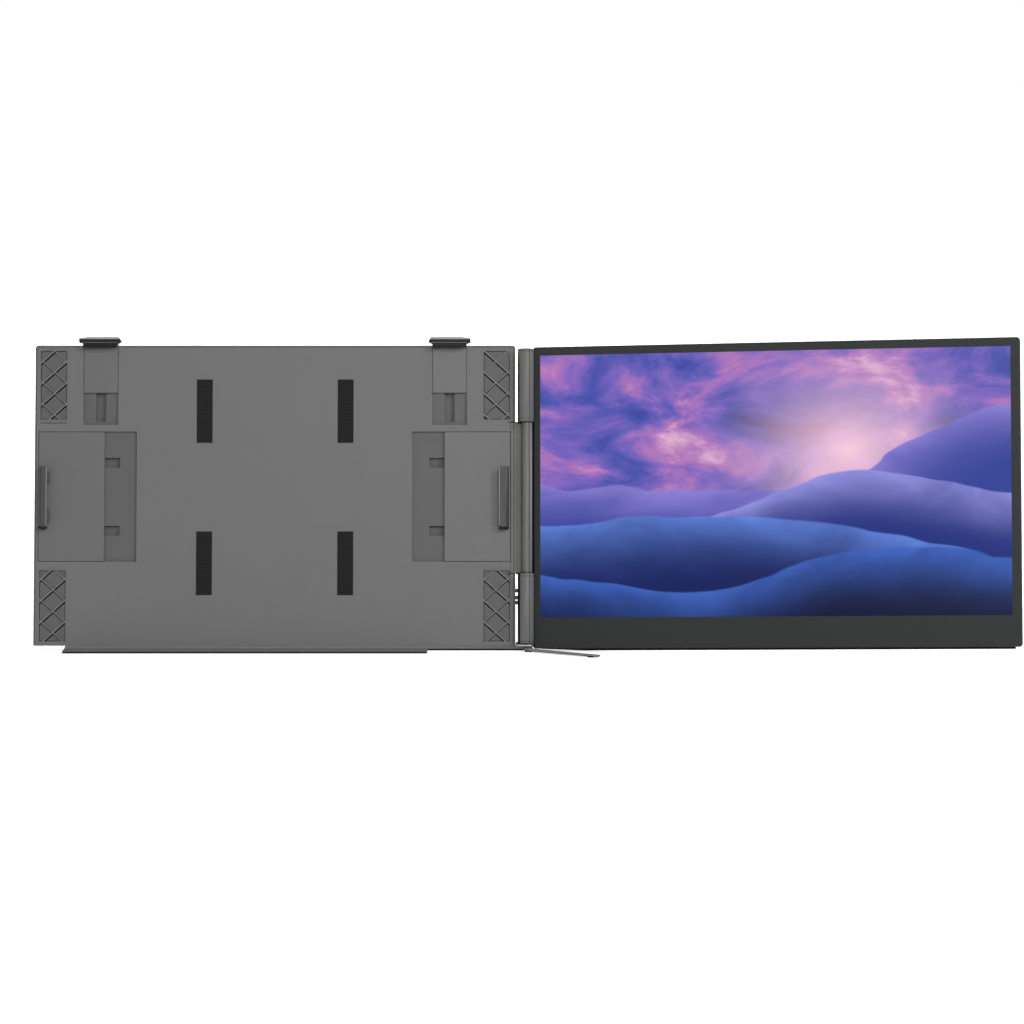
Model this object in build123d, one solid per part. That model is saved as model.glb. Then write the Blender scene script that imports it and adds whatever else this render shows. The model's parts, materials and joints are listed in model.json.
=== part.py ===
"""Side-mounted second screen for a laptop: a backing bracket, a hinged monitor and its stand.

All lengths are millimetres and all angles degrees. The row frame has +Z up, +X towards the
monitor and the user on the -Y side. The origin is on the table, under the foot of the monitor's
hinge axis. The bracket is drawn upright in its own frame, with the hinge axis as its Z axis, and
the monitor is drawn wide open; both are then turned into place.
"""
from build123d import *
import math
import os

# ---- stance ---------------------------------------------------------------------------------
lean_deg = 10.5            # how far the bracket leans back
rest_swing_deg = 11.3      # how far the monitor is turned towards the user
axis_foot_z = 5.0          # height of the hinge axis's foot over the table

# ---- bracket --------------------------------------------------------------------------------
bracket_width = 422.9
bracket_height = 264.2
bracket_gap = 9.1          # hinge axis to the bracket's edge
lid_plane_y = 6.5          # face that the laptop's lid leans on, behind the hinge axis
bracket_depth = 10.0
back_cover_depth = 2.0
front_wall = 2.2
side_wall = 2.0
bottom_wall = 6.0
corner_radius = 3.0
edge_chamfer = 0.6
frame_plate_depth = 1.2
frame_plate_margin = 8.0
frame_window = (70.0, 78.0)
screw_inset_x = 120.0
screw_rows = (20.0, 14.0)  # lower screws over the foot, upper screws under the bracket's top
screw_boss_radius = 3.4
screw_radius = 1.4
screw_head_radius = 2.8
screw_head_depth = 1.3
screw_clearance = 0.2
back_recess_margins = (26.0, 38.0, 24.0)   # sides, bottom, top
back_recess_depth = 0.5
grip_strip_size = (14.0, 56.0)
grip_strip_spread = 124.0
grip_strip_rows = (44.0, 178.0)

# ---- relief at the bracket's corners ----------------------------------------------------------
relief_rim = 4.9
relief_step_rim = 3.1      # rim of the shallow step around each panel
relief_step_depth = 0.4
relief_width = 23.0
relief_depth = 1.4
rib_width = 1.0
rib_height = 1.2
rib_pitch = 18.8
rib_slope_deg = 42.0
rib_cross_inset = 1.8      # panel's outer side to the line on which the ribs cross
relief_gap = 8.0           # plain band between a low relief panel and the arm's channel
relief_high_gap = 11.0
relief_foot_z = 3.5

# ---- sliding arms and clips -------------------------------------------------------------------
channel_depth = 2.8
channel_floor = 1.6
slide_clearance = 0.3
arm_height = 114.0
arm_centre_z = 130.7
arm_length = 58.0
arm_travel = 28.0
right_arm_gap = 4.5        # arm's outer end to the bracket's edge
left_arm_gap = 3.6
lid_gap = 6.3              # space that a clip leaves for the lid
lip_depth = 2.2
pad_depth = 0.8
side_hook_height = 53.0
side_hook_drop = 0.5       # hook's middle under the arm's middle
side_hook_web = 3.5
right_hook_inset = 1.2     # arm's outer end to the right hook
right_lip_reach = 5.3
left_hook_inset = 1.0
left_lip_reach = 3.8
left_tooth_reach = 2.5
hook_round = 3.0           # outer front edge of a side hook
hook_corner = 1.4
tooth_heights = (9.5, 10.0)
tooth_offsets = (17.5, -16.0)
lug_size = (10.0, 8.0)
arm_lug_inset = 38.0       # arm's outer end to the middle of its lugs
arm_lug_spread = 60.0
retainer_depth = 1.6
top_clip_width = 37.0
top_slider_width = 30.0
top_slider_length = 42.0
top_clip_inset = 39.5      # bracket's edge to the near end of a top clip
top_clip_down = 28.0
top_clip_up = 12.0
top_cap_depth = 5.8
top_cap_lift = 0.8
top_lip_drop = 3.3
top_cap_taper = 9.0        # sloping part of the cap's top at its outer end
top_cap_end = (1.0, 4.6)   # blunt outer end, over the cap's underside
top_cap_point = 1.9        # height of the pointed inner end
top_cap_nose = (3.3, 2.3)  # lower and upper slope of the inner end, along the cap
top_cap_undercut = 5.5

# ---- hinge ------------------------------------------------------------------------------------
nose_span = (-3.7, 5.7)    # the block's nose between the barrels, along X
nose_front_y = -4.8
nose_round = 4.2
barrel_radius = 7.1
barrel_bore = 5.2          # twelve-sided, so that the sleeve can't turn in it
lower_barrel_foot = 0.9
lower_barrel_length = 62.0
upper_barrel_length = 64.2
block_gap = 0.5            # end play between the block and each barrel
block_height = 132.1
block_plate_rise = 1.2     # front plate's corner beside the upper barrel
block_plate_clear = 1.0
block_left_x = -13.1       # the block's front plate is let into the bracket's edge
block_plate_depth = 2.0
block_right_x = 1.5
groove_width = 0.5
groove_depth = 0.6
nose_groove_x = 3.0        # line that runs down the block
barrel_groove_x = 4.3      # and the one down each barrel
flange_reach = 24.0
flange_depth = 2.0
shaft_radius = 2.6
shaft_sides = 24
shaft_clearance = 0.05
shaft_seat = 17.0
upper_shaft_reach = 38.0
lower_shaft_reach = 11.0
cap_depth = 2.0
web_start_x = 2.0
web_end_gap = 3.0          # keeps the web's deep part clear of the base rail
tongue_reach = 20.0
tongue_depth = 2.0

# ---- monitor ----------------------------------------------------------------------------------
monitor_edge_x = 6.2       # hinge axis to the monitor's near edge
monitor_face_y = 4.5
monitor_depth = 9.5
screen_width = 409.8       # visible area, 18.5 inches at 16 to 9
screen_height = 230.5
bezel_left = 5.8
bezel_right = 8.2
bezel_top = 7.5
bezel_bottom = 27.1
monitor_foot_z = -2.9      # monitor's lower edge against the hinge axis's foot
bezel_depth = 2.4
bezel_lip = 0.6
screen_rebate = 2.0
glass_depth = 1.2
backlight_depth = 2.6
monitor_wall = 1.6
monitor_corner = 3.0       # outer corners
monitor_near_corner = 0.8  # corners beside the hinge
back_round = 3.2           # long edges of the monitor's back
monitor_screw_columns = (40.0, 12.0)
monitor_screw_rows = (12.0, 4.2)
monitor_screw_radius = 1.9
board_size = (101.7, 70.0)
board_inset = (8.3, 4.0)   # board to the monitor's outer and lower edge
board_gap = 0.4            # behind the driver board
driver_board_depth = 1.2

# ---- buttons and sockets ----------------------------------------------------------------------
button_heights = (47.8, 41.6, 37.4)
button_size = (3.0, 3.2)
button_proud = 2.2
button_travel = 0.5
button_clearance = 0.3
button_depth = 4.2
board_depth = 0.8
socket_depth = 3.0
socket_edge_gap = 0.3
socket_widths = (9.0, 9.0, 11.4)
socket_first_z = 34.0      # over the monitor's lower edge
socket_spacing = 6.5
socket_length = 7.8
socket_wall = 0.4

# ---- screws -----------------------------------------------------------------------------------
fastener_sides = 10
bore_sides = 12

# ---- base -------------------------------------------------------------------------------------
pad_height = 0.6
rail_top = 3.4
rail_left_x = -404.0
rail_right_x = 6.0
rail_back_y = 17.0
rail_front_y = -14.0
rail_slope_y = 5.2         # the rail's top slopes down in front of this line
rail_front_top = 1.9       # top of its front flange
notch_edge_y = 2.2
notch_left_x = -86.0
pivot_x = 2.5
pivot_y = -4.2
leg_turn_deg = 27.5        # leg's rest direction, forward of +X
leg_length = 69.0
leg_root_radius = 4.0
leg_tip_radius = 3.7
leg_low_z = 1.0
leg_high_z = 2.3
leg_tip_top = 2.0
lap_z = 1.5
lap_gap = 0.3
ear_radius = 3.6
rivet_radius = 2.0
dome_radius = 2.2
dome_height = 0.9
dome_taper_deg = 38.0
rail_screw_insets = (90.0, 48.0)
rail_screw_radius = 1.6
rail_screw_head = 3.0
rail_foot_size = (40.0, 10.0)
rail_foot_inset = (8.0, 2.0)
stand_left_x = -352.0
stand_right_x = -62.0
stand_back_y = 128.0
stand_depth = 3.0
stand_axis_y = 20.0
stand_axis_z = 3.6
stand_front_gap = 4.0
stand_knuckle = 2.7
stand_pin = 1.2
stand_hinge_x = (-322.0, -92.0)
stand_knuckle_width = 14.0
stand_pad_size = (34.0, 10.0)
stand_recess = (24.0, 16.0, 22.0)          # sides, front, back
stand_recess_depth = 0.8
bumper_size = (12.0, 8.0)
bumper_inset_x = 30.0
bumper_rows = (32.0, 118.0)

# ---- values that follow ------------------------------------------------------------------------
bracket_right_x = -bracket_gap
bracket_left_x = bracket_right_x - bracket_width
back_plane_y = lid_plane_y + bracket_depth
cover_joint_y = back_plane_y - back_cover_depth
cavity_front_y = lid_plane_y + front_wall
channel_floor_y = lid_plane_y + channel_depth
channel_back_y = channel_floor_y + channel_floor
retainer_y = channel_back_y + slide_clearance
frame_plate_y = cover_joint_y - frame_plate_depth
lip_back_y = lid_plane_y - lid_gap
lip_front_y = lip_back_y - pad_depth - lip_depth
arm_low_z = arm_centre_z - arm_height / 2
arm_high_z = arm_centre_z + arm_height / 2
right_arm_end = bracket_right_x - right_arm_gap
left_arm_end = bracket_left_x + left_arm_gap
lower_barrel_top = lower_barrel_foot + lower_barrel_length
block_low_z = lower_barrel_top + block_gap
block_high_z = block_low_z + block_height
upper_barrel_z = block_high_z + block_gap
upper_barrel_top = upper_barrel_z + upper_barrel_length
monitor_right_x = monitor_edge_x + bezel_left + screen_width + bezel_right
screen_left_x = monitor_edge_x + bezel_left
screen_low_z = monitor_foot_z + bezel_bottom
screen_top_z = screen_low_z + screen_height
monitor_top_z = screen_top_z + bezel_top
monitor_back_y = monitor_face_y + monitor_depth
shell_front_y = monitor_face_y + bezel_depth
glass_y = monitor_face_y + bezel_lip
backlight_y = glass_y + glass_depth
cavity_back_y = monitor_back_y - monitor_wall
tongue_back_y = cavity_back_y - 1.0
relief_low_top = arm_low_z - relief_gap
relief_high_bottom = arm_high_z + relief_high_gap
hook_centre_z = arm_centre_z - side_hook_drop

bracket_place = Pos(0, 0, axis_foot_z) * Rot(-lean_deg, 0, 0)
monitor_place = bracket_place * Rot(0, 0, -rest_swing_deg)


def slab(x, y, z):
    """Box between the lowest and highest value on each axis."""
    low = (min(x), min(y), min(z))
    high = (max(x), max(y), max(z))
    size = [b - a for a, b in zip(low, high)]
    return Pos(*low) * Box(*size, align=(Align.MIN, Align.MIN, Align.MIN))


def rounded_slab(x, y, z, radius, axis=Axis.Y):
    """Box with its edges along one axis rounded."""
    part = slab(x, y, z)
    return fillet(part.edges().filter_by(axis), radius)


def rod(x, y, z, radius):
    """Upright cylinder between two heights."""
    base = Pos(x, y, min(z)) * Cylinder(radius, abs(z[1] - z[0]),
                                        align=(Align.CENTER, Align.CENTER, Align.MIN))
    return base


def stud_z(x, y, z, radius, sides=fastener_sides):
    """Upright screw, pin or sleeve, or a hole for one, with few faces."""
    outline = RegularPolygon(radius, sides)
    return Pos(x, y, min(z)) * extrude(outline, abs(z[1] - z[0]))


def stud_y(x, y, z, radius):
    """Screw along Y, or a hole for one, with few faces."""
    outline = Plane.XZ * RegularPolygon(radius, fastener_sides)
    return Pos(x, max(y), z) * extrude(outline, abs(y[1] - y[0]))


def rod_x(x, y, z, radius):
    """Cylinder along X between two stations."""
    length = abs(x[1] - x[0])
    return Pos((x[0] + x[1]) / 2, y, z) * Rot(0, 90, 0) * Cylinder(radius, length)


def stud_x(x, y, z, radius):
    """Pin along X, or a hole for one, with few faces."""
    outline = Plane.YZ * RegularPolygon(radius, shaft_sides)
    return Pos(min(x), y, z) * extrude(outline, abs(x[1] - x[0]))


def level_cut(part):
    """Take away what lies under the rail's top face, so that the bracket stands level on it."""
    size = 1200.0
    below = Pos(0, 0, rail_top - size / 2) * Box(size, size, size)
    return part - bracket_place.inverse() * below


# ---- bracket shells ----------------------------------------------------------------------------
def screw_places():
    """X and Z of the screws that hold the bracket's covers together."""
    columns = [bracket_left_x + screw_inset_x, bracket_right_x - screw_inset_x]
    rows = [screw_rows[0], bracket_height - screw_rows[1]]
    return [(x, z) for x in columns for z in rows]


def bracket_outline(y):
    low_z = -4.0
    part = slab((bracket_left_x, bracket_right_x), y, (low_z, bracket_height))
    top_edges = part.edges().filter_by(Axis.Y).group_by(Axis.Z)[-1]
    return fillet(top_edges, corner_radius)


def lattice(x, z, cross_x, first_drop):
    """Crossing ribs that fill a relief panel; the first crossing is first_drop under its top."""
    back = lid_plane_y + relief_depth + 0.2
    depth = (lid_plane_y + relief_depth - rib_height, back)
    length = 2.5 * (x[1] - x[0]) / math.cos(math.radians(rib_slope_deg))
    crossings = int((z[1] - z[0] + first_drop) / rib_pitch) + 1
    bars = None
    for i in range(-1, crossings):
        cross_z = z[1] - first_drop - i * rib_pitch
        for slope in (rib_slope_deg, -rib_slope_deg):
            place = Pos(cross_x, sum(depth) / 2, cross_z) * Rot(0, slope, 0)
            bar = place * Box(length, depth[1] - depth[0], rib_width)
            bars = bar if bars is None else bars + bar
    return bars & slab(x, depth, z)


def relief_panels():
    """For each relief panel: X span, Z span, side, and drop from its top to the first crossing."""
    right = (bracket_right_x - relief_rim - relief_width, bracket_right_x - relief_rim)
    left = (bracket_left_x + relief_rim, bracket_left_x + relief_rim + relief_width)
    low = (relief_foot_z, relief_low_top)
    high = (relief_high_bottom, bracket_height - relief_rim)
    panels = []
    for x, side in ((right, 1), (left, -1)):
        panels.append((x, low, side, 0.4 * rib_pitch))
        panels.append((x, high, side, rib_pitch if side > 0 else 0.5 * rib_pitch))
    return panels


def top_slider_span(side):
    """X span of a top clip's slider; side is 1 on the right and -1 on the left."""
    if side > 0:
        centre = bracket_right_x - top_clip_inset - top_clip_width / 2
    else:
        centre = bracket_left_x + top_clip_inset + top_clip_width / 2
    return (centre - top_slider_width / 2, centre + top_slider_width / 2)


def grow(span, by):
    return (span[0] - by, span[1] + by)


def arm_span(side):
    if side > 0:
        return (right_arm_end - arm_length, right_arm_end)
    return (left_arm_end, left_arm_end + arm_length)


def arm_lug_x(side):
    if side > 0:
        return right_arm_end - arm_lug_inset
    return left_arm_end + arm_lug_inset


def arm_channel(side):
    x0, x1 = arm_span(side)
    if side > 0:
        x0 = x0 - arm_travel
    else:
        x1 = x1 + arm_travel
    return grow((x0, x1), slide_clearance), grow((arm_low_z, arm_high_z), slide_clearance)


def top_channel(side):
    low = bracket_height - top_slider_length - top_clip_down - slide_clearance
    return grow(top_slider_span(side), slide_clearance), (low, bracket_height + 1.0)


def arm_slots(side):
    """Slots in the channel's floor that the arm's lugs run in."""
    x = arm_lug_x(side)
    reach = -side * arm_travel
    span = (x - lug_size[0] / 2 + min(reach, 0), x + lug_size[0] / 2 + max(reach, 0))
    rows = [arm_centre_z - arm_lug_spread / 2, arm_centre_z + arm_lug_spread / 2]
    return [(grow(span, slide_clearance), grow((z - lug_size[1] / 2, z + lug_size[1] / 2),
                                               slide_clearance)) for z in rows]


def top_lug_z():
    return bracket_height - top_slider_length + lug_size[0] / 2 + 3.0


def top_slot(side):
    x0, x1 = top_slider_span(side)
    middle = (x0 + x1) / 2
    z = top_lug_z()
    span = (z - lug_size[0] / 2 - top_clip_down, z + lug_size[0] / 2 + top_clip_up)
    return grow((middle - lug_size[1] / 2, middle + lug_size[1] / 2), slide_clearance), \
        grow(span, slide_clearance)


def flange_span_z():
    return (block_low_z + 8.0, block_high_z - 8.0)


def make_front_cover():
    cover = bracket_outline((lid_plane_y, cover_joint_y))
    rim = cover.faces().sort_by(Axis.Y)[0].edges()
    cover = chamfer(rim, edge_chamfer)
    cover -= slab((bracket_left_x + side_wall, bracket_right_x - side_wall),
                  (cavity_front_y, cover_joint_y), (bottom_wall, bracket_height - side_wall))
    for side in (1, -1):
        for x, z in (arm_channel(side), top_channel(side)):
            wall_z = (z[0] - channel_floor, min(z[1] + channel_floor, bracket_height - 0.5))
            wall_x = (max(x[0] - channel_floor, bracket_left_x + 0.5),
                      min(x[1] + channel_floor, bracket_right_x - 0.5))
            cover += slab(wall_x, (cavity_front_y - 0.5, channel_back_y), wall_z)
    for side in (1, -1):
        for x, z in (arm_channel(side), top_channel(side)):
            cover -= slab(x, (lid_plane_y - 1, channel_floor_y), z)
        for x, z in arm_slots(side) + [top_slot(side)]:
            cover -= slab(x, (channel_floor_y - 1, channel_back_y + 1), z)
    step = relief_rim - relief_step_rim
    for x, z, side, first_drop in relief_panels():
        cover -= slab(grow(x, step), (lid_plane_y - 1, lid_plane_y + relief_step_depth), grow(z, step))
        cover -= slab(x, (lid_plane_y - 1, lid_plane_y + relief_depth), z)
        outer_x = x[1] - rib_cross_inset if side > 0 else x[0] + rib_cross_inset
        cover += lattice(x, z, outer_x, first_drop)
    for x, z in screw_places():
        cover += stud_y(x, (cavity_front_y - 0.5, frame_plate_y), z, screw_boss_radius)
        cover -= stud_y(x, (cavity_front_y + 1.0, cover_joint_y), z, screw_radius)
    for x, z in grip_places():
        cover -= slab(x, (lid_plane_y - 1, lid_plane_y + pad_depth), z)
    flange_y = (frame_plate_y - flange_depth - 0.1, frame_plate_y + 0.1)
    cover -= slab((bracket_right_x - side_wall - 1, bracket_right_x + 1), flange_y,
                  grow(flange_span_z(), 0.1))
    cover -= slab((block_left_x - 0.1, bracket_right_x + 1),
                  (lid_plane_y - 1, lid_plane_y + block_plate_depth + 0.1),
                  grow((block_low_z, block_high_z + block_plate_rise), 0.1))
    return level_cut(cover)


def grip_places():
    """X and Z spans of the rubber strips that keep the lid from slipping."""
    middle = (bracket_left_x + bracket_right_x) / 2
    strips = []
    half = grip_strip_size[0] / 2
    for x in (middle - grip_strip_spread / 2, middle + grip_strip_spread / 2):
        for z in grip_strip_rows:
            strips.append(((x - half, x + half), (z, z + grip_strip_size[1])))
    return strips


def make_grip_pads():
    pads = None
    for x, z in grip_places():
        pad = slab(grow(x, -0.1), (lid_plane_y - 0.2, lid_plane_y + pad_depth), grow(z, -0.1))
        pads = pad if pads is None else pads + pad
    return pads


def make_back_cover():
    cover = bracket_outline((cover_joint_y, back_plane_y))
    rim = cover.faces().sort_by(Axis.Y)[-1].edges()
    cover = chamfer(rim, edge_chamfer)
    sides, foot, top = back_recess_margins
    cover -= slab((bracket_left_x + sides, bracket_right_x - sides),
                  (back_plane_y - back_recess_depth, back_plane_y + 1), (foot, bracket_height - top))
    for x, z in screw_places():
        cover -= stud_y(x, (cover_joint_y - 1, back_plane_y + 1), z, screw_radius + screw_clearance)
        cover -= stud_y(x, (back_plane_y - screw_head_depth, back_plane_y + 1), z,
                        screw_head_radius + screw_clearance)
    return level_cut(cover)


def make_frame_plate():
    x = (bracket_left_x + frame_plate_margin, bracket_right_x - frame_plate_margin)
    z = (bottom_wall + 2, bracket_height - frame_plate_margin)
    plate = slab(x, (frame_plate_y, cover_joint_y), z)
    columns = 4
    rows = 2
    pitch_x = (x[1] - x[0]) / columns
    pitch_z = (z[1] - z[0]) / rows
    for i in range(columns):
        for j in range(rows):
            cx = x[0] + (i + 0.5) * pitch_x
            cz = z[0] + (j + 0.5) * pitch_z
            plate -= slab((cx - frame_window[0] / 2, cx + frame_window[0] / 2),
                          (frame_plate_y - 1, cover_joint_y + 1),
                          (cz - frame_window[1] / 2, cz + frame_window[1] / 2))
    for hole_x, hole_z in screw_places():
        plate -= stud_y(hole_x, (frame_plate_y - 1, cover_joint_y + 1), hole_z,
                        screw_radius + screw_clearance)
    for hole_x, hole_z in flange_screws():
        plate -= stud_y(hole_x, (frame_plate_y - 1, cover_joint_y + 1), hole_z,
                        screw_radius + screw_clearance)
    return plate


def make_bracket_screws():
    screws = None
    for x, z in screw_places():
        screw = stud_y(x, (back_plane_y - screw_head_depth, back_plane_y - 0.3), z, screw_head_radius)
        screw += stud_y(x, (cover_joint_y - 3.0, back_plane_y - 1.0), z, screw_radius)
        screws = screw if screws is None else screws + screw
    return screws


def make_back_bumpers():
    """Rubber studs that the folded stand rests against."""
    studs = None
    depth = stand_axis_local_y() - (stand_axis_z_offset()) - back_plane_y - 0.3
    width, height = bumper_size
    for x in (stand_left_x + bumper_inset_x, stand_right_x - bumper_inset_x):
        for z in bumper_rows:
            recessed = z > back_recess_margins[1]
            floor = back_plane_y - (back_recess_depth if recessed else 0)
            stud = slab((x - width / 2, x + width / 2), (floor, back_plane_y + depth),
                        (z - height / 2, z + height / 2))
            studs = stud if studs is None else studs + stud
    return studs


def stand_axis_z_offset():
    """How far the stand's upper face is over its hinge axis."""
    return stand_low_z() + stand_depth - stand_axis_z


def stand_axis_local_y():
    lean = math.radians(lean_deg)
    return stand_axis_y * math.cos(lean) - (stand_axis_z - axis_foot_z) * math.sin(lean)


# ---- hinge -------------------------------------------------------------------------------------
def flange_screws():
    z = flange_span_z()
    return [(bracket_right_x - 15.0, z[0] + share * (z[1] - z[0])) for share in (0.15, 0.85)]


def front_groove(groove_x, centre, radius, z):
    """Slot down the front of a round surface whose axis is at centre."""
    surface_y = centre[1] - math.sqrt(radius ** 2 - (groove_x - centre[0]) ** 2)
    return slab((groove_x - groove_width / 2, groove_x + groove_width / 2),
                (surface_y - 2, surface_y + groove_depth), z)


def make_hinge_block():
    z = (block_low_z, block_high_z)
    block = slab((block_left_x, block_right_x), (lid_plane_y, lid_plane_y + block_plate_depth), z)
    block += slab((bracket_right_x, block_right_x), (lid_plane_y, back_plane_y - 0.4), z)
    block += slab((block_left_x, -barrel_radius - block_plate_clear),
                  (lid_plane_y, lid_plane_y + block_plate_depth), (z[0], z[1] + block_plate_rise))
    nose = slab(nose_span, (nose_front_y, lid_plane_y + 1), z)
    block += fillet(nose.faces().sort_by(Axis.Y)[0].edges().filter_by(Axis.Z), nose_round)
    round_centre = (nose_span[1] - nose_round, nose_front_y + nose_round)
    block -= front_groove(nose_groove_x, round_centre, nose_round, grow(z, 1))
    flange_x = (bracket_right_x - flange_reach, bracket_right_x)
    block += slab(flange_x, (frame_plate_y - flange_depth, frame_plate_y), flange_span_z())
    for x, hole_z in flange_screws():
        block -= stud_y(x, (frame_plate_y - flange_depth - 1, frame_plate_y + 1), hole_z, screw_radius)
    block -= stud_z(0, 0, (block_high_z - shaft_seat, block_high_z + 1), shaft_radius, shaft_sides)
    block -= stud_z(0, 0, (block_low_z - 1, block_low_z + shaft_seat), shaft_radius, shaft_sides)
    return block


def make_flange_screws():
    screws = None
    for x, z in flange_screws():
        screw = stud_y(x, (frame_plate_y - flange_depth, cover_joint_y), z, screw_radius)
        screws = screw if screws is None else screws + screw
    return screws


def make_shaft(upper):
    if upper:
        z = (block_high_z - shaft_seat, block_high_z + upper_shaft_reach)
    else:
        z = (block_low_z - lower_shaft_reach, block_low_z + shaft_seat)
    return stud_z(0, 0, z, shaft_radius, shaft_sides)


def sleeve_span(upper):
    if upper:
        return (upper_barrel_z, block_high_z + upper_shaft_reach)
    return (block_low_z - lower_shaft_reach, lower_barrel_top)


def make_sleeve(upper):
    z = sleeve_span(upper)
    sleeve = stud_z(0, 0, z, barrel_bore, bore_sides)
    return sleeve - stud_z(0, 0, grow(z, 1), shaft_radius + shaft_clearance, shaft_sides)


def barrel_span(upper):
    if upper:
        return (upper_barrel_z, upper_barrel_top)
    return (lower_barrel_foot, lower_barrel_top)


def make_barrel(upper):
    z = barrel_span(upper)
    barrel = rod(0, 0, z, barrel_radius)
    barrel += slab((web_start_x, monitor_edge_x), (monitor_face_y + 0.1, barrel_radius),
                   grow(z, -web_end_gap / 4))
    barrel += slab((web_start_x, monitor_edge_x), (monitor_face_y + 0.1, tongue_back_y),
                   grow(z, -web_end_gap))
    barrel += slab((web_start_x, monitor_edge_x + tongue_reach),
                   (tongue_back_y - tongue_depth, tongue_back_y), tongue_span(upper))
    barrel -= front_groove(barrel_groove_x, (0, 0), barrel_radius, grow(z, 1))
    barrel -= stud_z(0, 0, grow(z, 1), barrel_bore, bore_sides)
    for x, hole_z in tongue_screws(upper):
        barrel -= stud_y(x, (tongue_back_y - tongue_depth - 1, tongue_back_y + 1), hole_z, 1.2)
    if not upper:
        for height in button_heights:
            hole = button_size[0] + 2 * button_clearance, button_size[1] + 2 * button_clearance
            barrel -= slab((-barrel_radius - 1, -2), (-hole[0] / 2, hole[0] / 2),
                           (height - hole[1] / 2, height + hole[1] / 2))
    return barrel


def tongue_span(upper):
    z = barrel_span(upper)
    return (z[0] + 10.0, z[1] - 10.0)


def tongue_screws(upper):
    z = tongue_span(upper)
    x = monitor_edge_x + tongue_reach - 6.0
    return [(x, z[0] + 8.0), (x, z[1] - 8.0)]


def make_tongue_screws():
    screws = None
    for upper in (True, False):
        for x, z in tongue_screws(upper):
            screw = stud_y(x, (tongue_back_y - tongue_depth, cavity_back_y), z, 1.2)
            screws = screw if screws is None else screws + screw
    return screws


def make_barrel_cap(upper):
    z = barrel_span(upper)
    seat = (z[1] - cap_depth, z[1]) if upper else (z[0], z[0] + cap_depth)
    return stud_z(0, 0, seat, barrel_bore, bore_sides)


# ---- monitor -----------------------------------------------------------------------------------
def screen_span(by=0.0):
    return (grow((screen_left_x, screen_left_x + screen_width), by),
            grow((screen_low_z, screen_top_z), by))


def monitor_outline(y):
    part = slab((monitor_edge_x, monitor_right_x), y, (monitor_foot_z, monitor_top_z))
    upright = part.edges().filter_by(Axis.Y).group_by(Axis.X)
    part = fillet(upright[-1], monitor_corner)
    return fillet(part.edges().filter_by(Axis.Y).group_by(Axis.X)[0], monitor_near_corner)


def make_monitor_bezel():
    bezel = monitor_outline((monitor_face_y, shell_front_y))
    rim = bezel.faces().sort_by(Axis.Y)[0].edges()
    bezel = chamfer(rim, 0.4)
    x, z = screen_span()
    bezel -= slab(x, (monitor_face_y - 1, shell_front_y + 1), z)
    x, z = screen_span(screen_rebate)
    bezel -= slab(x, (glass_y, shell_front_y + 1), z)
    return bezel


def make_screen_panel():
    x, z = screen_span(screen_rebate - 0.1)
    return slab(x, (glass_y, backlight_y), z)


def make_backlight_unit():
    x, z = screen_span(screen_rebate - 0.3)
    return slab(x, (backlight_y, backlight_y + backlight_depth), z)


def monitor_screw_places():
    columns = (monitor_edge_x + monitor_screw_columns[0], monitor_right_x - monitor_screw_columns[1])
    rows = (monitor_foot_z + monitor_screw_rows[0], monitor_top_z - monitor_screw_rows[1])
    return [(x, z) for x in columns for z in rows]


def make_monitor_back_cover():
    cover = monitor_outline((shell_front_y, monitor_back_y))
    rim = cover.faces().sort_by(Axis.Y)[-1].edges()
    cover = fillet(rim, back_round)
    cover -= slab((monitor_edge_x + monitor_wall, monitor_right_x - monitor_wall),
                  (shell_front_y - 1, cavity_back_y),
                  (monitor_foot_z + monitor_wall, monitor_top_z - monitor_wall))
    for upper in (True, False):
        cover -= slab((monitor_edge_x - 1, monitor_edge_x + monitor_wall + 1),
                      grow((tongue_back_y - tongue_depth, tongue_back_y), 0.1),
                      grow(tongue_span(upper), 0.1))
    for x, z in monitor_screw_places():
        cover -= stud_y(x, (monitor_back_y - 0.9, monitor_back_y + 1), z, monitor_screw_radius + 0.1)
    for low, high in socket_spans():
        cover -= slab((monitor_right_x - monitor_wall - 1, monitor_right_x + 1),
                      socket_depth_span(), (low, high))
    return cover


def make_monitor_screws():
    screws = None
    for x, z in monitor_screw_places():
        screw = stud_y(x, (monitor_back_y - 0.9, monitor_back_y - 0.2), z, monitor_screw_radius)
        screws = screw if screws is None else screws + screw
    return screws


def socket_spans():
    """Heights of the sockets in the monitor's outer edge, low to high."""
    spans = []
    low = monitor_foot_z + socket_first_z
    for width in socket_widths:
        spans.append((low, low + width))
        low += width + socket_spacing
    return spans


def socket_depth_span():
    return (cavity_back_y - socket_edge_gap - socket_depth, cavity_back_y - socket_edge_gap)


def make_socket(number, inner):
    """Metal shell of a socket, open to the outside, with its contact tongue."""
    low, high = socket_spans()[number]
    y = socket_depth_span()
    x = (monitor_right_x - socket_length - 0.2, monitor_right_x - 0.2)
    shell = rounded_slab(x, y, (low, high), 1.2 if inner else 0.5, Axis.X)
    hollow = rounded_slab((x[0] + 1.0, x[1] + 1), grow(y, -socket_wall), grow((low, high), -socket_wall),
                          0.8 if inner else 0.3, Axis.X)
    shell -= hollow
    middle = (y[0] + y[1]) / 2
    return shell + slab((x[0] + 0.5, x[1] - 1.2), (middle - 0.3, middle + 0.3),
                        grow((low, high), -1.6))


def make_driver_board():
    y = cavity_back_y - board_gap
    x = monitor_right_x - board_inset[0]
    z = monitor_foot_z + board_inset[1]
    return slab((x - board_size[0], x), (y - driver_board_depth, y), (z, z + board_size[1]))


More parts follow.
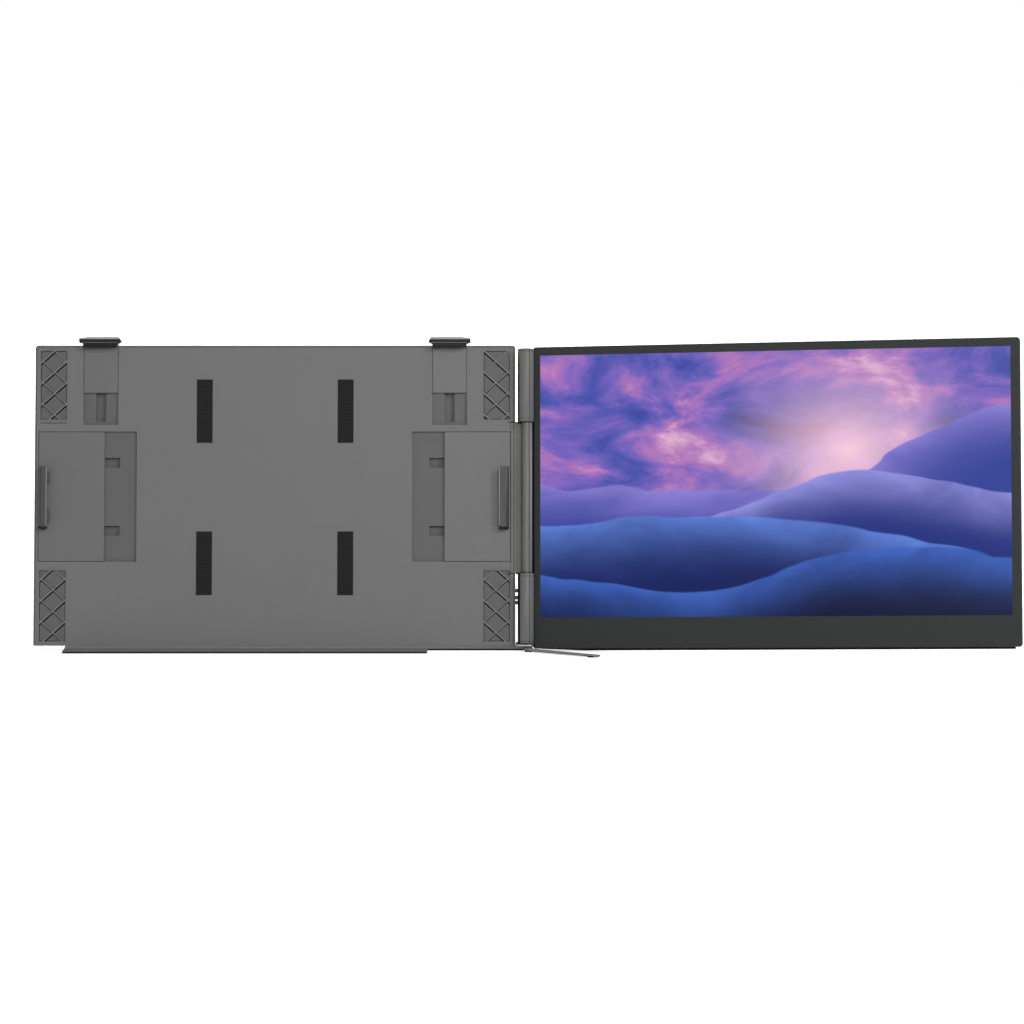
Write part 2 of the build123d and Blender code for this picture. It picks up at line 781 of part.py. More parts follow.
# ---- buttons -----------------------------------------------------------------------------------
def make_button(height):
    outer = -barrel_radius - button_proud
    cap = slab((outer, outer + button_depth), (-button_size[0] / 2, button_size[0] / 2),
               (height - button_size[1] / 2, height + button_size[1] / 2))
    face = cap.faces().sort_by(Axis.X)[0].edges()
    return chamfer(face, 0.5)


def make_button_board():
    x = -barrel_radius - button_proud + button_depth + button_travel + 0.1
    z = (min(button_heights) - 5.0, max(button_heights) + 3.4)
    half = 2.6
    board = slab((x, x + board_depth), (-half, half), z)
    return board & stud_z(0, 0, z, barrel_bore, bore_sides)


# ---- arms and clips ----------------------------------------------------------------------------
def make_arm_plate(side):
    plate = rounded_slab(arm_span(side), (lid_plane_y, channel_floor_y - 0.2),
                         (arm_low_z, arm_high_z), 1.0)
    x = arm_lug_x(side)
    for z in (arm_centre_z - arm_lug_spread / 2, arm_centre_z + arm_lug_spread / 2):
        plate += slab((x - lug_size[0] / 2, x + lug_size[0] / 2), (channel_floor_y - 0.4, retainer_y),
                      (z - lug_size[1] / 2, z + lug_size[1] / 2))
    return plate


def make_arm_retainer(side):
    x = arm_lug_x(side)
    width = lug_size[0] + 5.0
    height = arm_lug_spread + lug_size[1] + 6.0
    return rounded_slab((x - width / 2, x + width / 2), (retainer_y, retainer_y + retainer_depth),
                        (arm_centre_z - height / 2, arm_centre_z + height / 2), 2.0)


def hook_web_x(side):
    if side > 0:
        outer = right_arm_end - right_hook_inset
        return (outer - side_hook_web, outer)
    outer = left_arm_end + left_hook_inset
    return (outer, outer + side_hook_web)


def make_side_hook(side):
    web = hook_web_x(side)
    z = (hook_centre_z - side_hook_height / 2, hook_centre_z + side_hook_height / 2)
    reach = right_lip_reach if side > 0 else left_lip_reach
    lip = (web[0] - reach, web[1]) if side > 0 else (web[0], web[1] + reach)
    hook = slab(web, (lip_front_y, lid_plane_y), z)
    hook += slab(lip, (lip_front_y, lip_front_y + lip_depth), z)
    upright = hook.faces().sort_by(Axis.Y)[0].edges().filter_by(Axis.Z).sort_by(Axis.X, side < 0)
    hook = fillet(upright[-1], hook_round)
    hook = hook & rounded_slab(lip, (lip_front_y, lid_plane_y), z, hook_corner)
    if side < 0:
        for height, offset in zip(tooth_heights, tooth_offsets):
            middle = hook_centre_z + offset
            hook += slab((lip[1] - 1.0, lip[1] + left_tooth_reach),
                         (lip_front_y + 0.5, lip_front_y + lip_depth),
                         (middle - height / 2, middle + height / 2))
    return hook


def make_side_hook_pad(side):
    web = hook_web_x(side)
    z = (hook_centre_z - side_hook_height / 2 + 2, hook_centre_z + side_hook_height / 2 - 2)
    y = (lip_back_y - pad_depth, lip_back_y)
    if side > 0:
        return slab((web[0] - right_lip_reach + 0.5, web[0]), y, z)
    return slab((web[1], web[1] + left_lip_reach - 0.3), y, z)


def make_top_slider(side):
    x0, x1 = top_slider_span(side)
    z = (bracket_height - top_slider_length, bracket_height + top_cap_lift)
    slider = slab((x0, x1), (lid_plane_y, channel_floor_y - 0.2), z)
    middle = (x0 + x1) / 2
    lug_z = top_lug_z()
    slider += slab((middle - lug_size[1] / 2, middle + lug_size[1] / 2),
                   (channel_floor_y - 0.4, retainer_y),
                   (lug_z - lug_size[0] / 2, lug_z + lug_size[0] / 2))
    return slider


def make_top_retainer(side):
    x0, x1 = top_slider_span(side)
    middle = (x0 + x1) / 2
    lug_z = top_lug_z()
    return slab((middle - 8, middle + 8), (retainer_y, retainer_y + retainer_depth),
                (lug_z - 7, lug_z + 7))


def make_top_hook(side):
    x0, x1 = top_slider_span(side)
    middle = (x0 + x1) / 2
    cap_z = bracket_height + top_cap_lift
    half = top_clip_width / 2
    outline = [(half, cap_z + top_cap_end[0]), (half, cap_z + top_cap_end[1]),
               (half - top_cap_taper, cap_z + top_cap_depth),
               (top_cap_nose[1] - half, cap_z + top_cap_depth), (-half, cap_z + top_cap_point),
               (top_cap_nose[0] - half, cap_z), (half - top_cap_undercut, cap_z)]
    points = [(middle + side * x, z) for x, z in outline]
    section = Plane.XZ * make_face(Polyline(*points, close=True))
    cap = Pos(0, lid_plane_y - slide_clearance, 0) * extrude(section, lid_plane_y - slide_clearance
                                                             - lip_front_y)
    front_top = cap.faces().sort_by(Axis.Z)[-1].edges().sort_by(Axis.Y)[0]
    cap = fillet(front_top, 1.0)
    cap += slab((x0, x1), (lid_plane_y - 1.0, channel_floor_y - 0.2), (cap_z, cap_z + top_cap_depth - 0.8))
    lip = slab((x0, x1), (lip_front_y, lip_front_y + lip_depth), (cap_z - top_lip_drop, cap_z + 0.5))
    lip = chamfer(lip.faces().sort_by(Axis.Z)[0].edges(), 0.4)
    return cap + lip


def make_top_pad(side):
    x0, x1 = top_slider_span(side)
    cap_z = bracket_height + top_cap_lift
    return slab((x0 + 1.5, x1 - 1.5), (lip_back_y - pad_depth, lip_back_y),
                (cap_z - top_lip_drop + 0.5, cap_z))


# ---- base --------------------------------------------------------------------------------------
def rail_profile(front_y):
    """Closed outline of the rail's section in the YZ plane, with a sloping front and a flange."""
    points = [(rail_back_y, pad_height), (rail_back_y, rail_top), (rail_slope_y, rail_top),
              (notch_edge_y, rail_front_top)]
    if front_y < notch_edge_y:
        points.append((front_y, rail_front_top))
    return points + [(front_y, pad_height)]


def rail_length(front_y, x):
    outline = Plane.YZ * make_face(Polyline(*rail_profile(front_y), close=True))
    return Pos(x[0], 0, 0) * extrude(outline, x[1] - x[0])


def rail_screws():
    left = bracket_left_x + rail_screw_insets[0]
    right = bracket_right_x - rail_screw_insets[1]
    return [(left + share * (right - left), (lid_plane_y + back_plane_y) / 2) for share in (0, 1)]


def make_base_rail():
    rail = rail_length(notch_edge_y, (rail_left_x, rail_right_x))
    rail += rail_length(rail_front_y, (rail_left_x, notch_left_x))
    ear_z = (pad_height, lap_z - lap_gap)
    rail += slab((pivot_x - ear_radius, pivot_x + ear_radius), (pivot_y, notch_edge_y + 1), ear_z)
    rail += rod(pivot_x, pivot_y, ear_z, ear_radius)
    rail -= stud_z(pivot_x, pivot_y, (0, 6), rivet_radius, shaft_sides)
    for centre in stand_hinge_x:
        for x in root_knuckles(centre):
            rail += rod_x(x, stand_axis_y, stand_axis_z, stand_knuckle)
            rail += slab(x, (rail_back_y - 0.5, stand_axis_y), (stand_axis_z - stand_knuckle, rail_top))
        rail -= stud_x((centre - 30, centre + 30), stand_axis_y, stand_axis_z, stand_pin)
    for x, y in rail_screws():
        rail -= stud_z(x, y, (0, rail_top + 1), rail_screw_radius)
        rail -= stud_z(x, y, (0, 2.0), rail_screw_head + screw_clearance)
    return rail


def root_knuckles(centre):
    half = stand_knuckle_width / 2
    side = 9.0
    return [(centre - half - 0.3 - side, centre - half - 0.3), (centre + half + 0.3,
                                                                 centre + half + 0.3 + side)]


def stand_low_z():
    return pad_height + 0.3


def make_stand_plate():
    low = stand_low_z()
    front_y = stand_axis_y + stand_front_gap
    plate = rounded_slab((stand_left_x, stand_right_x), (front_y, stand_back_y),
                         (low, low + stand_depth), 8.0, Axis.Z)
    sides, front, back = stand_recess
    rib_x = (stand_left_x + sides, stand_right_x - sides)
    plate -= slab(rib_x, (front_y + front, stand_back_y - back),
                  (low + stand_depth - stand_recess_depth, low + 10))
    for share in (0.25, 0.5, 0.75):
        x = rib_x[0] + share * (rib_x[1] - rib_x[0])
        plate += slab((x - 3, x + 3), (front_y + front - 1, stand_back_y - back + 1),
                      (low + 1, low + stand_depth))
    notch_x = (stand_left_x + stand_right_x) / 2
    plate -= rod(notch_x, stand_back_y + 8, (0, 10), 18.0)
    for centre in stand_hinge_x:
        x = (centre - stand_knuckle_width / 2, centre + stand_knuckle_width / 2)
        plate += rod_x(x, stand_axis_y, stand_axis_z, stand_knuckle)
        plate += slab(x, (stand_axis_y, front_y + 1), (low, stand_axis_z + 0.3))
        plate -= stud_x((centre - 30, centre + 30), stand_axis_y, stand_axis_z,
                        stand_pin + shaft_clearance)
    return plate


def make_stand_pins():
    pins = None
    for centre in stand_hinge_x:
        spans = root_knuckles(centre)
        pin = stud_x((spans[0][0], spans[1][1]), stand_axis_y, stand_axis_z, stand_pin)
        pins = pin if pins is None else pins + pin
    return pins


def make_stand_pads():
    pads = None
    for x in (stand_left_x + 26, stand_right_x - 26):
        pad = rounded_slab((x - stand_pad_size[0] / 2, x + stand_pad_size[0] / 2),
                           (stand_back_y - 6 - stand_pad_size[1], stand_back_y - 6),
                           (0, stand_low_z()), 4.0, Axis.Z)
        pads = pad if pads is None else pads + pad
    return pads


def make_rail_pads():
    """Rubber feet under the rail; the one at the right end carries the row's origin."""
    length, width = rail_foot_size
    right = slab((pivot_x - ear_radius, rail_right_x - 0.5), (pivot_y - 2.5, rail_back_y - 5.0),
                 (0, pad_height))
    left_x = rail_left_x + rail_foot_inset[0]
    front = (rail_front_y + rail_foot_inset[1], rail_front_y + rail_foot_inset[1] + width)
    left = slab((left_x, left_x + length), front, (0, pad_height))
    middle_x = (rail_left_x + notch_left_x) / 2
    middle = slab((middle_x - length / 2, middle_x + length / 2), front, (0, pad_height))
    rear = slab((left_x, left_x + length), (rail_back_y - 3.0 - width, rail_back_y - 3.0), (0, pad_height))
    return right + left + middle + rear


def make_rail_screws():
    screws = None
    for x, y in rail_screws():
        screw = stud_z(x, y, (1.0, 2.0), rail_screw_head)
        screw += stud_z(x, y, (1.5, rail_top), rail_screw_radius)
        screws = screw if screws is None else screws + screw
    return screws


def leg_place():
    return Pos(pivot_x, pivot_y, 0) * Rot(0, 0, -leg_turn_deg)


def make_swing_leg():
    reach = leg_length - leg_tip_radius
    outline = Polyline((0, leg_root_radius - 0.3), (reach, leg_tip_radius), (reach, -leg_tip_radius),
                       (0, -leg_root_radius + 0.3), close=True)
    blade = extrude(make_face(outline), leg_high_z)
    blade += Pos(reach, 0, 0) * Cylinder(leg_tip_radius, leg_high_z,
                                         align=(Align.CENTER, Align.CENTER, Align.MIN))
    blade += Cylinder(leg_root_radius, leg_high_z, align=(Align.CENTER, Align.CENTER, Align.MIN))
    side = [(-10, leg_high_z), (leg_root_radius + 3, leg_high_z), (leg_length + 1, leg_tip_top),
            (leg_length + 1, leg_low_z), (leg_root_radius + 1.2, leg_low_z),
            (leg_root_radius + 1.2, lap_z), (-10, lap_z)]
    section = Plane.XZ * make_face(Polyline(*side, close=True))
    blade = blade & extrude(section, 20, both=True)
    blade -= stud_z(0, 0, (-1, leg_high_z + 1), rivet_radius + shaft_clearance, shaft_sides)
    outline = RegularPolygon(dome_radius, bore_sides)
    blade += Pos(reach - 1.0, 0, leg_tip_top - 0.2) * extrude(outline, dome_height, taper=dome_taper_deg)
    return leg_place() * blade


def make_leg_foot():
    foot = Pos(leg_length - leg_tip_radius - 5.0, 0, 0) * Cylinder(
        3.0, leg_low_z, align=(Align.CENTER, Align.CENTER, Align.MIN))
    return leg_place() * foot


def make_leg_rivet():
    return stud_z(pivot_x, pivot_y, (pad_height + 0.1, leg_high_z), rivet_radius, shaft_sides)


# ---- everything --------------------------------------------------------------------------------
def bracket_pieces():
    pieces = {
        "bracket_front_cover": make_front_cover(),
        "bracket_back_cover": make_back_cover(),
        "bracket_frame_plate": make_frame_plate(),
        "bracket_screws": make_bracket_screws(),
        "lid_grip_pads": make_grip_pads(),
        "stand_bumpers": make_back_bumpers(),
        "hinge_block": make_hinge_block(),
        "hinge_block_screws": make_flange_screws(),
        "hinge_shaft_upper": make_shaft(True),
        "hinge_shaft_lower": make_shaft(False),
    }
    for side, word in ((1, "right"), (-1, "left")):
        pieces[word + "_arm_plate"] = make_arm_plate(side)
        pieces[word + "_arm_retainer"] = make_arm_retainer(side)
        pieces[word + "_side_hook"] = make_side_hook(side)
        pieces[word + "_side_hook_pad"] = make_side_hook_pad(side)
        pieces[word + "_top_slider"] = make_top_slider(side)
        pieces[word + "_top_retainer"] = make_top_retainer(side)
        pieces[word + "_top_hook"] = make_top_hook(side)
        pieces[word + "_top_hook_pad"] = make_top_pad(side)
    return {name: bracket_place * piece for name, piece in pieces.items()}


def monitor_pieces():
    pieces = {
        "monitor_bezel": make_monitor_bezel(),
        "screen_panel": make_screen_panel(),
        "backlight_unit": make_backlight_unit(),
        "monitor_back_cover": make_monitor_back_cover(),
        "monitor_screws": make_monitor_screws(),
        "driver_board": make_driver_board(),
        "usb_c_port_lower": make_socket(0, True),
        "usb_c_port_upper": make_socket(1, True),
        "mini_hdmi_port": make_socket(2, False),
        "hinge_barrel_upper": make_barrel(True),
        "hinge_barrel_lower": make_barrel(False),
        "barrel_screws": make_tongue_screws(),
        "friction_sleeve_upper": make_sleeve(True),
        "friction_sleeve_lower": make_sleeve(False),
        "barrel_cap_upper": make_barrel_cap(True),
        "barrel_cap_lower": make_barrel_cap(False),
        "button_board": make_button_board(),
    }
    for name, height in zip(("power_button", "plus_button", "minus_button"), button_heights):
        pieces[name] = make_button(height)
    return {name: monitor_place * piece for name, piece in pieces.items()}


def base_pieces():
    return {
        "base_rail": make_base_rail(),
        "rail_pads": make_rail_pads(),
        "rail_screws": make_rail_screws(),
        "stand_hinge_pins": make_stand_pins(),
        "stand_plate": make_stand_plate(),
        "stand_pads": make_stand_pads(),
        "swing_leg": make_swing_leg(),
        "leg_foot": make_leg_foot(),
        "leg_rivet": make_leg_rivet(),
    }


def main():
    os.makedirs("parts", exist_ok=True)
    for pieces in (bracket_pieces(), monitor_pieces(), base_pieces()):
        for name, piece in pieces.items():
            export_step(piece, os.path.join("parts", name + ".step"))


main()
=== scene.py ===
"""Looks of the laptop screen extender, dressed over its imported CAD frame.

The scene is in metres. Sizes are written in millimetres and multiplied by MM where they are used.
"""
import json
import math

import bmesh
import bpy
from mathutils import Matrix, Vector


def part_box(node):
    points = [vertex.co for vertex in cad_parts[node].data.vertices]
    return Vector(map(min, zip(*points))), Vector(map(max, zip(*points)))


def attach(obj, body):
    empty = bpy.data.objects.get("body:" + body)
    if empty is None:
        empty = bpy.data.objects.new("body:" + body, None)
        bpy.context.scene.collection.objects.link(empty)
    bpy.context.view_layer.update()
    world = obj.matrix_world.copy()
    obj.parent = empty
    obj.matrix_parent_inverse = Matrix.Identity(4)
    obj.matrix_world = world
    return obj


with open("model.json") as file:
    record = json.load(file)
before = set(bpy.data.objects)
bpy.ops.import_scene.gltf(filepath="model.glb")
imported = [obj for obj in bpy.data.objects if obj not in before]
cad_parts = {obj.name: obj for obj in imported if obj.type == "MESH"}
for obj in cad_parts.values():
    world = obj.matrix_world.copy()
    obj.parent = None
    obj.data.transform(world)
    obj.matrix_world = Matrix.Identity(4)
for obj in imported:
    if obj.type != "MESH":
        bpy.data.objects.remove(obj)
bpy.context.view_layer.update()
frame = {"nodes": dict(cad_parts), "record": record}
nodes = frame["nodes"]
MM = 0.001

# stance of the bracket and the monitor, and the frames that their shapes are drawn in
LEAN = math.radians(10.5)
SWING = math.radians(11.3)
AXIS_FOOT = 5.0 * MM
BRACKET = Matrix.Translation((0, 0, AXIS_FOOT)) @ Matrix.Rotation(-LEAN, 4, "X")
MONITOR = BRACKET @ Matrix.Rotation(-SWING, 4, "Z")
TABLE = Matrix.Identity(4)
BACKWARD = (0, math.cos(LEAN), -math.sin(LEAN))
UPWARD = (0, math.sin(LEAN), math.cos(LEAN))
DOWNWARD = (0, 0, -1)

# sizes in millimetres, in the frames of the bracket and the monitor, whose origin is the hinge
# axis's foot: X along the bracket, Y back through it, Z up along the axis
LID_PLANE = 6.5
RELIEF_FLOOR = 7.9
LOWER_BARREL = (0.9, 62.9)
BLOCK = (63.4, 195.5)
UPPER_BARREL = (196.0, 260.2)
BARREL_RADIUS = 7.1
BARREL_BORE = 5.2
NOSE_ROUND = 4.2
NOSE_CENTRE = (1.5, -0.6)
SCREEN_X = (12.0, 421.8)
SCREEN_Z = (24.2, 254.7)
SCREEN_FACE = 5.05


# ---- small tools for node trees ---------------------------------------------------------------
def new_group(name, inputs, outputs):
    """Empty shader group with its sockets, its input node and its output node."""
    group = bpy.data.node_groups.new(name, "ShaderNodeTree")
    for label, kind, value in inputs:
        socket = group.interface.new_socket(label, in_out="INPUT", socket_type="NodeSocket" + kind)
        if value is not None:
            socket.default_value = value
    for label, kind in outputs:
        group.interface.new_socket(label, in_out="OUTPUT", socket_type="NodeSocket" + kind)
    return group, group.nodes.new("NodeGroupInput"), group.nodes.new("NodeGroupOutput")


def feed(tree, target, value):
    """Link a socket, or set a constant."""
    if isinstance(value, bpy.types.NodeSocket):
        tree.links.new(value, target)
    elif value is not None:
        target.default_value = value


def math_node(tree, operation, a, b=None, c=None, clamp=False):
    node = tree.nodes.new("ShaderNodeMath")
    node.operation = operation
    node.use_clamp = clamp
    for socket, value in zip(node.inputs, (a, b, c)):
        feed(tree, socket, value)
    return node.outputs[0]


def vector_node(tree, operation, a, b=None):
    node = tree.nodes.new("ShaderNodeVectorMath")
    node.operation = operation
    feed(tree, node.inputs[0], a)
    feed(tree, node.inputs["Scale" if operation == "SCALE" else 1], b)
    return node.outputs["Value" if operation in ("DOT_PRODUCT", "LENGTH") else "Vector"]


def noise(tree, vector, scale, detail, rough, distortion=0.0):
    node = tree.nodes.new("ShaderNodeTexNoise")
    for label, value in (("Vector", vector), ("Scale", scale), ("Detail", detail),
                         ("Roughness", rough), ("Distortion", distortion)):
        feed(tree, node.inputs[label], value)
    return node.outputs["Fac"]


def spread(tree, value, low, high, new_low, new_high, smooth=False):
    """Map one range onto another, and hold the ends."""
    node = tree.nodes.new("ShaderNodeMapRange")
    node.interpolation_type = "SMOOTHSTEP" if smooth else "LINEAR"
    for socket, number in zip(node.inputs[:5], (value, low, high, new_low, new_high)):
        feed(tree, socket, number)
    return node.outputs[0]


def light_path(tree):
    return tree.nodes.new("ShaderNodeLightPath").outputs


def mix_colour(tree, blend, factor, a, b):
    node = tree.nodes.new("ShaderNodeMix")
    node.data_type = "RGBA"
    node.blend_type = blend
    factor_input, first_colour, second_colour, colour_output = 0, 6, 7, 2
    feed(tree, node.inputs[factor_input], factor)
    feed(tree, node.inputs[first_colour], a)
    feed(tree, node.inputs[second_colour], b)
    return node.outputs[colour_output]


def srgb(r, g=None, b=None):
    """Linear colour of display values from 0 to 255; one value alone is a grey."""
    shown = [c / 255 for c in ((r, r, r) if g is None else (r, g, b))]
    return (*(c / 12.92 if c <= 0.04045 else ((c + 0.055) / 1.055) ** 2.4 for c in shown), 1.0)


# ---- shared effects ---------------------------------------------------------------------------
def give(group, out, base, gain, rough, height):
    """Hand out a base colour times a gain, a roughness and a height."""
    colour = vector_node(group, "SCALE", base, gain)
    for label, socket in (("Colour", colour), ("Roughness", rough), ("Height", height)):
        group.links.new(socket, out.inputs[label])


EFFECT_OUTPUTS = [("Colour", "Color"), ("Roughness", "Float"), ("Height", "Float")]


def build_grain():
    """Fine moulded or sprayed texture with a slow drift of tone."""
    group, given, out = new_group(
        "moulded_grain",
        [("Vector", "Vector", None), ("Colour", "Color", (0.1, 0.1, 0.1, 1)),
         ("Scale", "Float", 2400.0), ("Tone", "Float", 0.12), ("Speckle", "Float", 0.16),
         ("Roughness", "Float", 0.5), ("Uneven", "Float", 0.12)], EFFECT_OUTPUTS)
    point, inlet = given.outputs["Vector"], given.outputs
    fine = noise(group, point, inlet["Scale"], 3.0, 0.6)
    slow = noise(group, point, 22.0, 3.0, 0.55)
    cloud = noise(group, point, 140.0, 2.0, 0.5)
    tone = math_node(group, "MULTIPLY", math_node(group, "SUBTRACT", slow, 0.5), inlet["Tone"])
    speck = math_node(group, "MULTIPLY", math_node(group, "SUBTRACT", fine, 0.5), inlet["Speckle"])
    gain = math_node(group, "ADD", math_node(group, "ADD", tone, speck), 1.0)
    patches = math_node(group, "MULTIPLY_ADD", cloud, 0.5, math_node(group, "MULTIPLY", slow, 0.5))
    drift = math_node(group, "SUBTRACT", patches, 0.5)
    rough = math_node(group, "MULTIPLY_ADD", drift, inlet["Uneven"], inlet["Roughness"], clamp=True)
    give(group, out, inlet["Colour"], gain, rough, fine)
    return group


def build_brushing():
    """Long scratches of a brushed metal, along X."""
    group, given, out = new_group(
        "brushed_lines",
        [("Vector", "Vector", None), ("Colour", "Color", (0.4, 0.4, 0.4, 1)),
         ("Scale", "Float", 900.0), ("Depth", "Float", 0.2), ("Roughness", "Float", 0.35)],
        EFFECT_OUTPUTS)
    point, inlet = given.outputs["Vector"], given.outputs
    stretched = vector_node(group, "MULTIPLY", point, (0.02, 1.0, 1.0))
    lines = noise(group, stretched, inlet["Scale"], 4.0, 0.65)
    patch = noise(group, point, 60.0, 3.0, 0.5)
    centred = math_node(group, "SUBTRACT", lines, 0.5)
    gain = math_node(group, "MULTIPLY_ADD", centred, inlet["Depth"], 1.0)
    rough = math_node(group, "MULTIPLY_ADD", math_node(group, "SUBTRACT", patch, 0.5), 0.18,
                      inlet["Roughness"], clamp=True)
    give(group, out, inlet["Colour"], gain, rough, lines)
    return group


GRAIN = build_grain()
BRUSHING = build_brushing()


def new_material(name):
    """Material with its node tree and its shader."""
    material = bpy.data.materials.new(name)
    material.use_nodes = True
    tree = material.node_tree
    shader = tree.nodes["Principled BSDF"]
    return material, tree, shader


def object_point(tree):
    """Coordinates of the piece itself, so that a finish moves with it."""
    return tree.nodes.new("ShaderNodeTexCoord").outputs["Object"]


def effect_material(name, effect, settings, relief, depth, metallic):
    """Material driven by one of the shared effects, its height given as a bump."""
    material, tree, shader = new_material(name)
    node = tree.nodes.new("ShaderNodeGroup")
    node.node_tree = effect
    tree.links.new(object_point(tree), node.inputs["Vector"])
    for label, value in settings.items():
        node.inputs[label].default_value = value
    tree.links.new(node.outputs["Colour"], shader.inputs["Base Color"])
    tree.links.new(node.outputs["Roughness"], shader.inputs["Roughness"])
    shader.inputs["Metallic"].default_value = metallic
    bump = tree.nodes.new("ShaderNodeBump")
    bump.inputs["Strength"].default_value = relief
    bump.inputs["Distance"].default_value = depth
    tree.links.new(node.outputs["Height"], bump.inputs["Height"])
    tree.links.new(bump.outputs["Normal"], shader.inputs["Normal"])
    return material, shader


def grained(name, colour, roughness, scale=2400.0, tone=0.12, speckle=0.16, relief=0.25,
            metallic=0.0, specular=0.5):
    """Plastic, paint or rubber with a fine grain."""
    settings = {"Colour": colour, "Scale": scale, "Tone": tone, "Speckle": speckle,
                "Roughness": roughness}
    material, shader = effect_material(name, GRAIN, settings, relief, 0.06 * MM, metallic)
    shader.inputs["Specular IOR Level"].default_value = specular
    return material


def brushed(name, colour, roughness, metallic=1.0):
    """Metal with long fine scratches."""
    settings = {"Colour": colour, "Roughness": roughness}
    return effect_material(name, BRUSHING, settings, 0.2, 0.04 * MM, metallic)[0]


def along(tree, direction):
    """Distance in metres of the surface from the hinge axis's foot, along a direction."""
    away = vector_node(tree, "SUBTRACT", object_point(tree), (0, 0, AXIS_FOOT))
    return vector_node(tree, "DOT_PRODUCT", away, direction)


def paint_shade(tree, mask, dark):
    """Paint shade into a finish: multiply its colour by a darker one where a mask says so."""
    base = tree.nodes["Principled BSDF"].inputs["Base Color"]
    colour = base.links[0].from_socket
    tree.links.new(mix_colour(tree, "MULTIPLY", mask, colour, dark), base)


def shaded_beyond(material, direction, near, far, dark):
    """Paint shade into a finish from one distance to another along a direction, as in recesses and
    lips.
    """
    tree = material.node_tree
    mask = spread(tree, along(tree, direction), near * MM, far * MM, 0.0, 1.0, True)
    paint_shade(tree, mask, dark)
    return material


def shaded_below(material, start, full, dark):
    """Paint shade into a finish from one height over the table down to another."""
    foot = AXIS_FOOT / MM
    return shaded_beyond(material, DOWNWARD, foot - start, foot - full, dark)


def ribbed(material, direction, pitch):
    """Fine moulded ribs across a direction, added to the height of a grained finish, with painted
    shade in their troughs.
    """
    tree = material.node_tree
    height = next(node for node in tree.nodes if node.type == "BUMP").inputs["Height"]
    grain = height.links[0].from_socket
    phase = math_node(tree, "MULTIPLY", along(tree, direction), 2 * math.pi / (pitch * MM))
    wave = math_node(tree, "SINE", phase)
    tree.links.new(math_node(tree, "MULTIPLY_ADD", wave, 3.0, grain), height)
    # painted shade: darker in the troughs between the ribs
    paint_shade(tree, spread(tree, wave, -0.6, 0.4, 1.0, 0.0, True), srgb(150))
    return material


FINISH = {
    # painted shade: the shell darkens behind its front plane, inside the recessed panels
    "bracket_shell": shaded_beyond(
        grained("graphite_shell", srgb(100, 101, 100), 0.52, specular=0.35),
        BACKWARD, LID_PLANE + 0.35, LID_PLANE + 0.8, srgb(215)),
    "bracket_back": grained("graphite_back", srgb(80, 81, 80), 0.58),
    "arm_paint": grained("arm_lacquer", srgb(84, 85, 84), 0.46, scale=3200.0, speckle=0.1),
    "steel_inside": brushed("zinc_steel", srgb(150), 0.4),
    "screw_black": grained("blackened_steel", srgb(34), 0.35, metallic=0.8, speckle=0.05),
    "rubber_black": ribbed(
        grained("black_rubber", srgb(30, 30, 31), 0.82, scale=1500.0, relief=0.4, specular=0.2),
        UPWARD, 1.6),
    "hook_black": grained("hook_plastic", srgb(58, 59, 58), 0.46, specular=0.3),
    "hinge_paint": grained("hinge_lacquer", srgb(104, 105, 103), 0.42, scale=3200.0, speckle=0.08,
                           specular=0.25),
    # painted shade along the bezel's top edge
    "bezel_plastic": shaded_beyond(
        grained("bezel_plastic", srgb(36, 39, 38), 0.55, scale=3000.0, specular=0.22),
        UPWARD, 260.9, 261.4, srgb(150)),
    "cover_plastic": grained("cover_plastic", srgb(58, 60, 60), 0.56, scale=2200.0),
    "screen": grained("screen_glass", srgb(14, 14, 18), 0.12, relief=0.0, speckle=0.0, tone=0.0),
    "diffuser": grained("light_box", srgb(200), 0.6),
    "board": grained("circuit_board", srgb(20, 58, 40), 0.45),
    "socket_metal": brushed("socket_steel", srgb(170), 0.3),
    "button_black": grained("button_plastic", srgb(38, 39, 39), 0.4),
    # painted shade: the rail darkens towards its underside near the table
    "leg_metal": shaded_below(brushed("leg_alloy", srgb(108), 0.46, metallic=0.3),
                              1.95, 1.6, srgb(95)),
    "stand_metal": grained("stand_lacquer", srgb(84, 85, 84), 0.45, metallic=0.1),
    "brass_sleeve": brushed("brass", srgb(170, 140, 80), 0.35),
}
# finishes of single nodes, in place of their slot's: the caps are nearly black under a painted
# highlight along their top edge, and the leg is brighter than the rail, with painted shade on its
# underside
CAP_PAINTED_HIGHLIGHT = shaded_beyond(grained("cap_painted_top_highlight", srgb(150), 0.42, specular=0.12),
                    [-c for c in UPWARD], -268.9, -268.5, srgb(36))
LEG = shaded_below(brushed("leg_bright", srgb(146), 0.42, metallic=0.3), 1.9, 1.6, srgb(60))
OWN_FINISH = {"left_top_hook": CAP_PAINTED_HIGHLIGHT, "right_top_hook": CAP_PAINTED_HIGHLIGHT, "swing_leg": LEG}
# dark polymer for real seams, also used as painted shade in the hinge's gaps, down the barrels'
# left sides and under the side hooks
DARK_POLYMER_AND_SHADE = grained("dark_polymer_and_painted_shade", srgb(14), 0.55, scale=3000.0, specular=0.15)


# ---- carried-over nodes: material, and a softened edge ----------------------------------------
# width of the softened edges of the large visible nodes, in millimetres
EDGE = {"hinge_block": 0.35, "hinge_barrel_upper": 0.3, "hinge_barrel_lower": 0.3,
        "left_arm_plate": 0.4, "right_arm_plate": 0.4,
        "left_side_hook": 0.4, "right_side_hook": 0.4,
        "left_top_hook": 0.3, "right_top_hook": 0.3,
        "left_top_slider": 0.3, "right_top_slider": 0.3,
        "monitor_bezel": 0.25, "base_rail": 0.3, "stand_plate": 0.35, "swing_leg": 0.25,
        "power_button": 0.12, "plus_button": 0.12, "minus_button": 0.12}


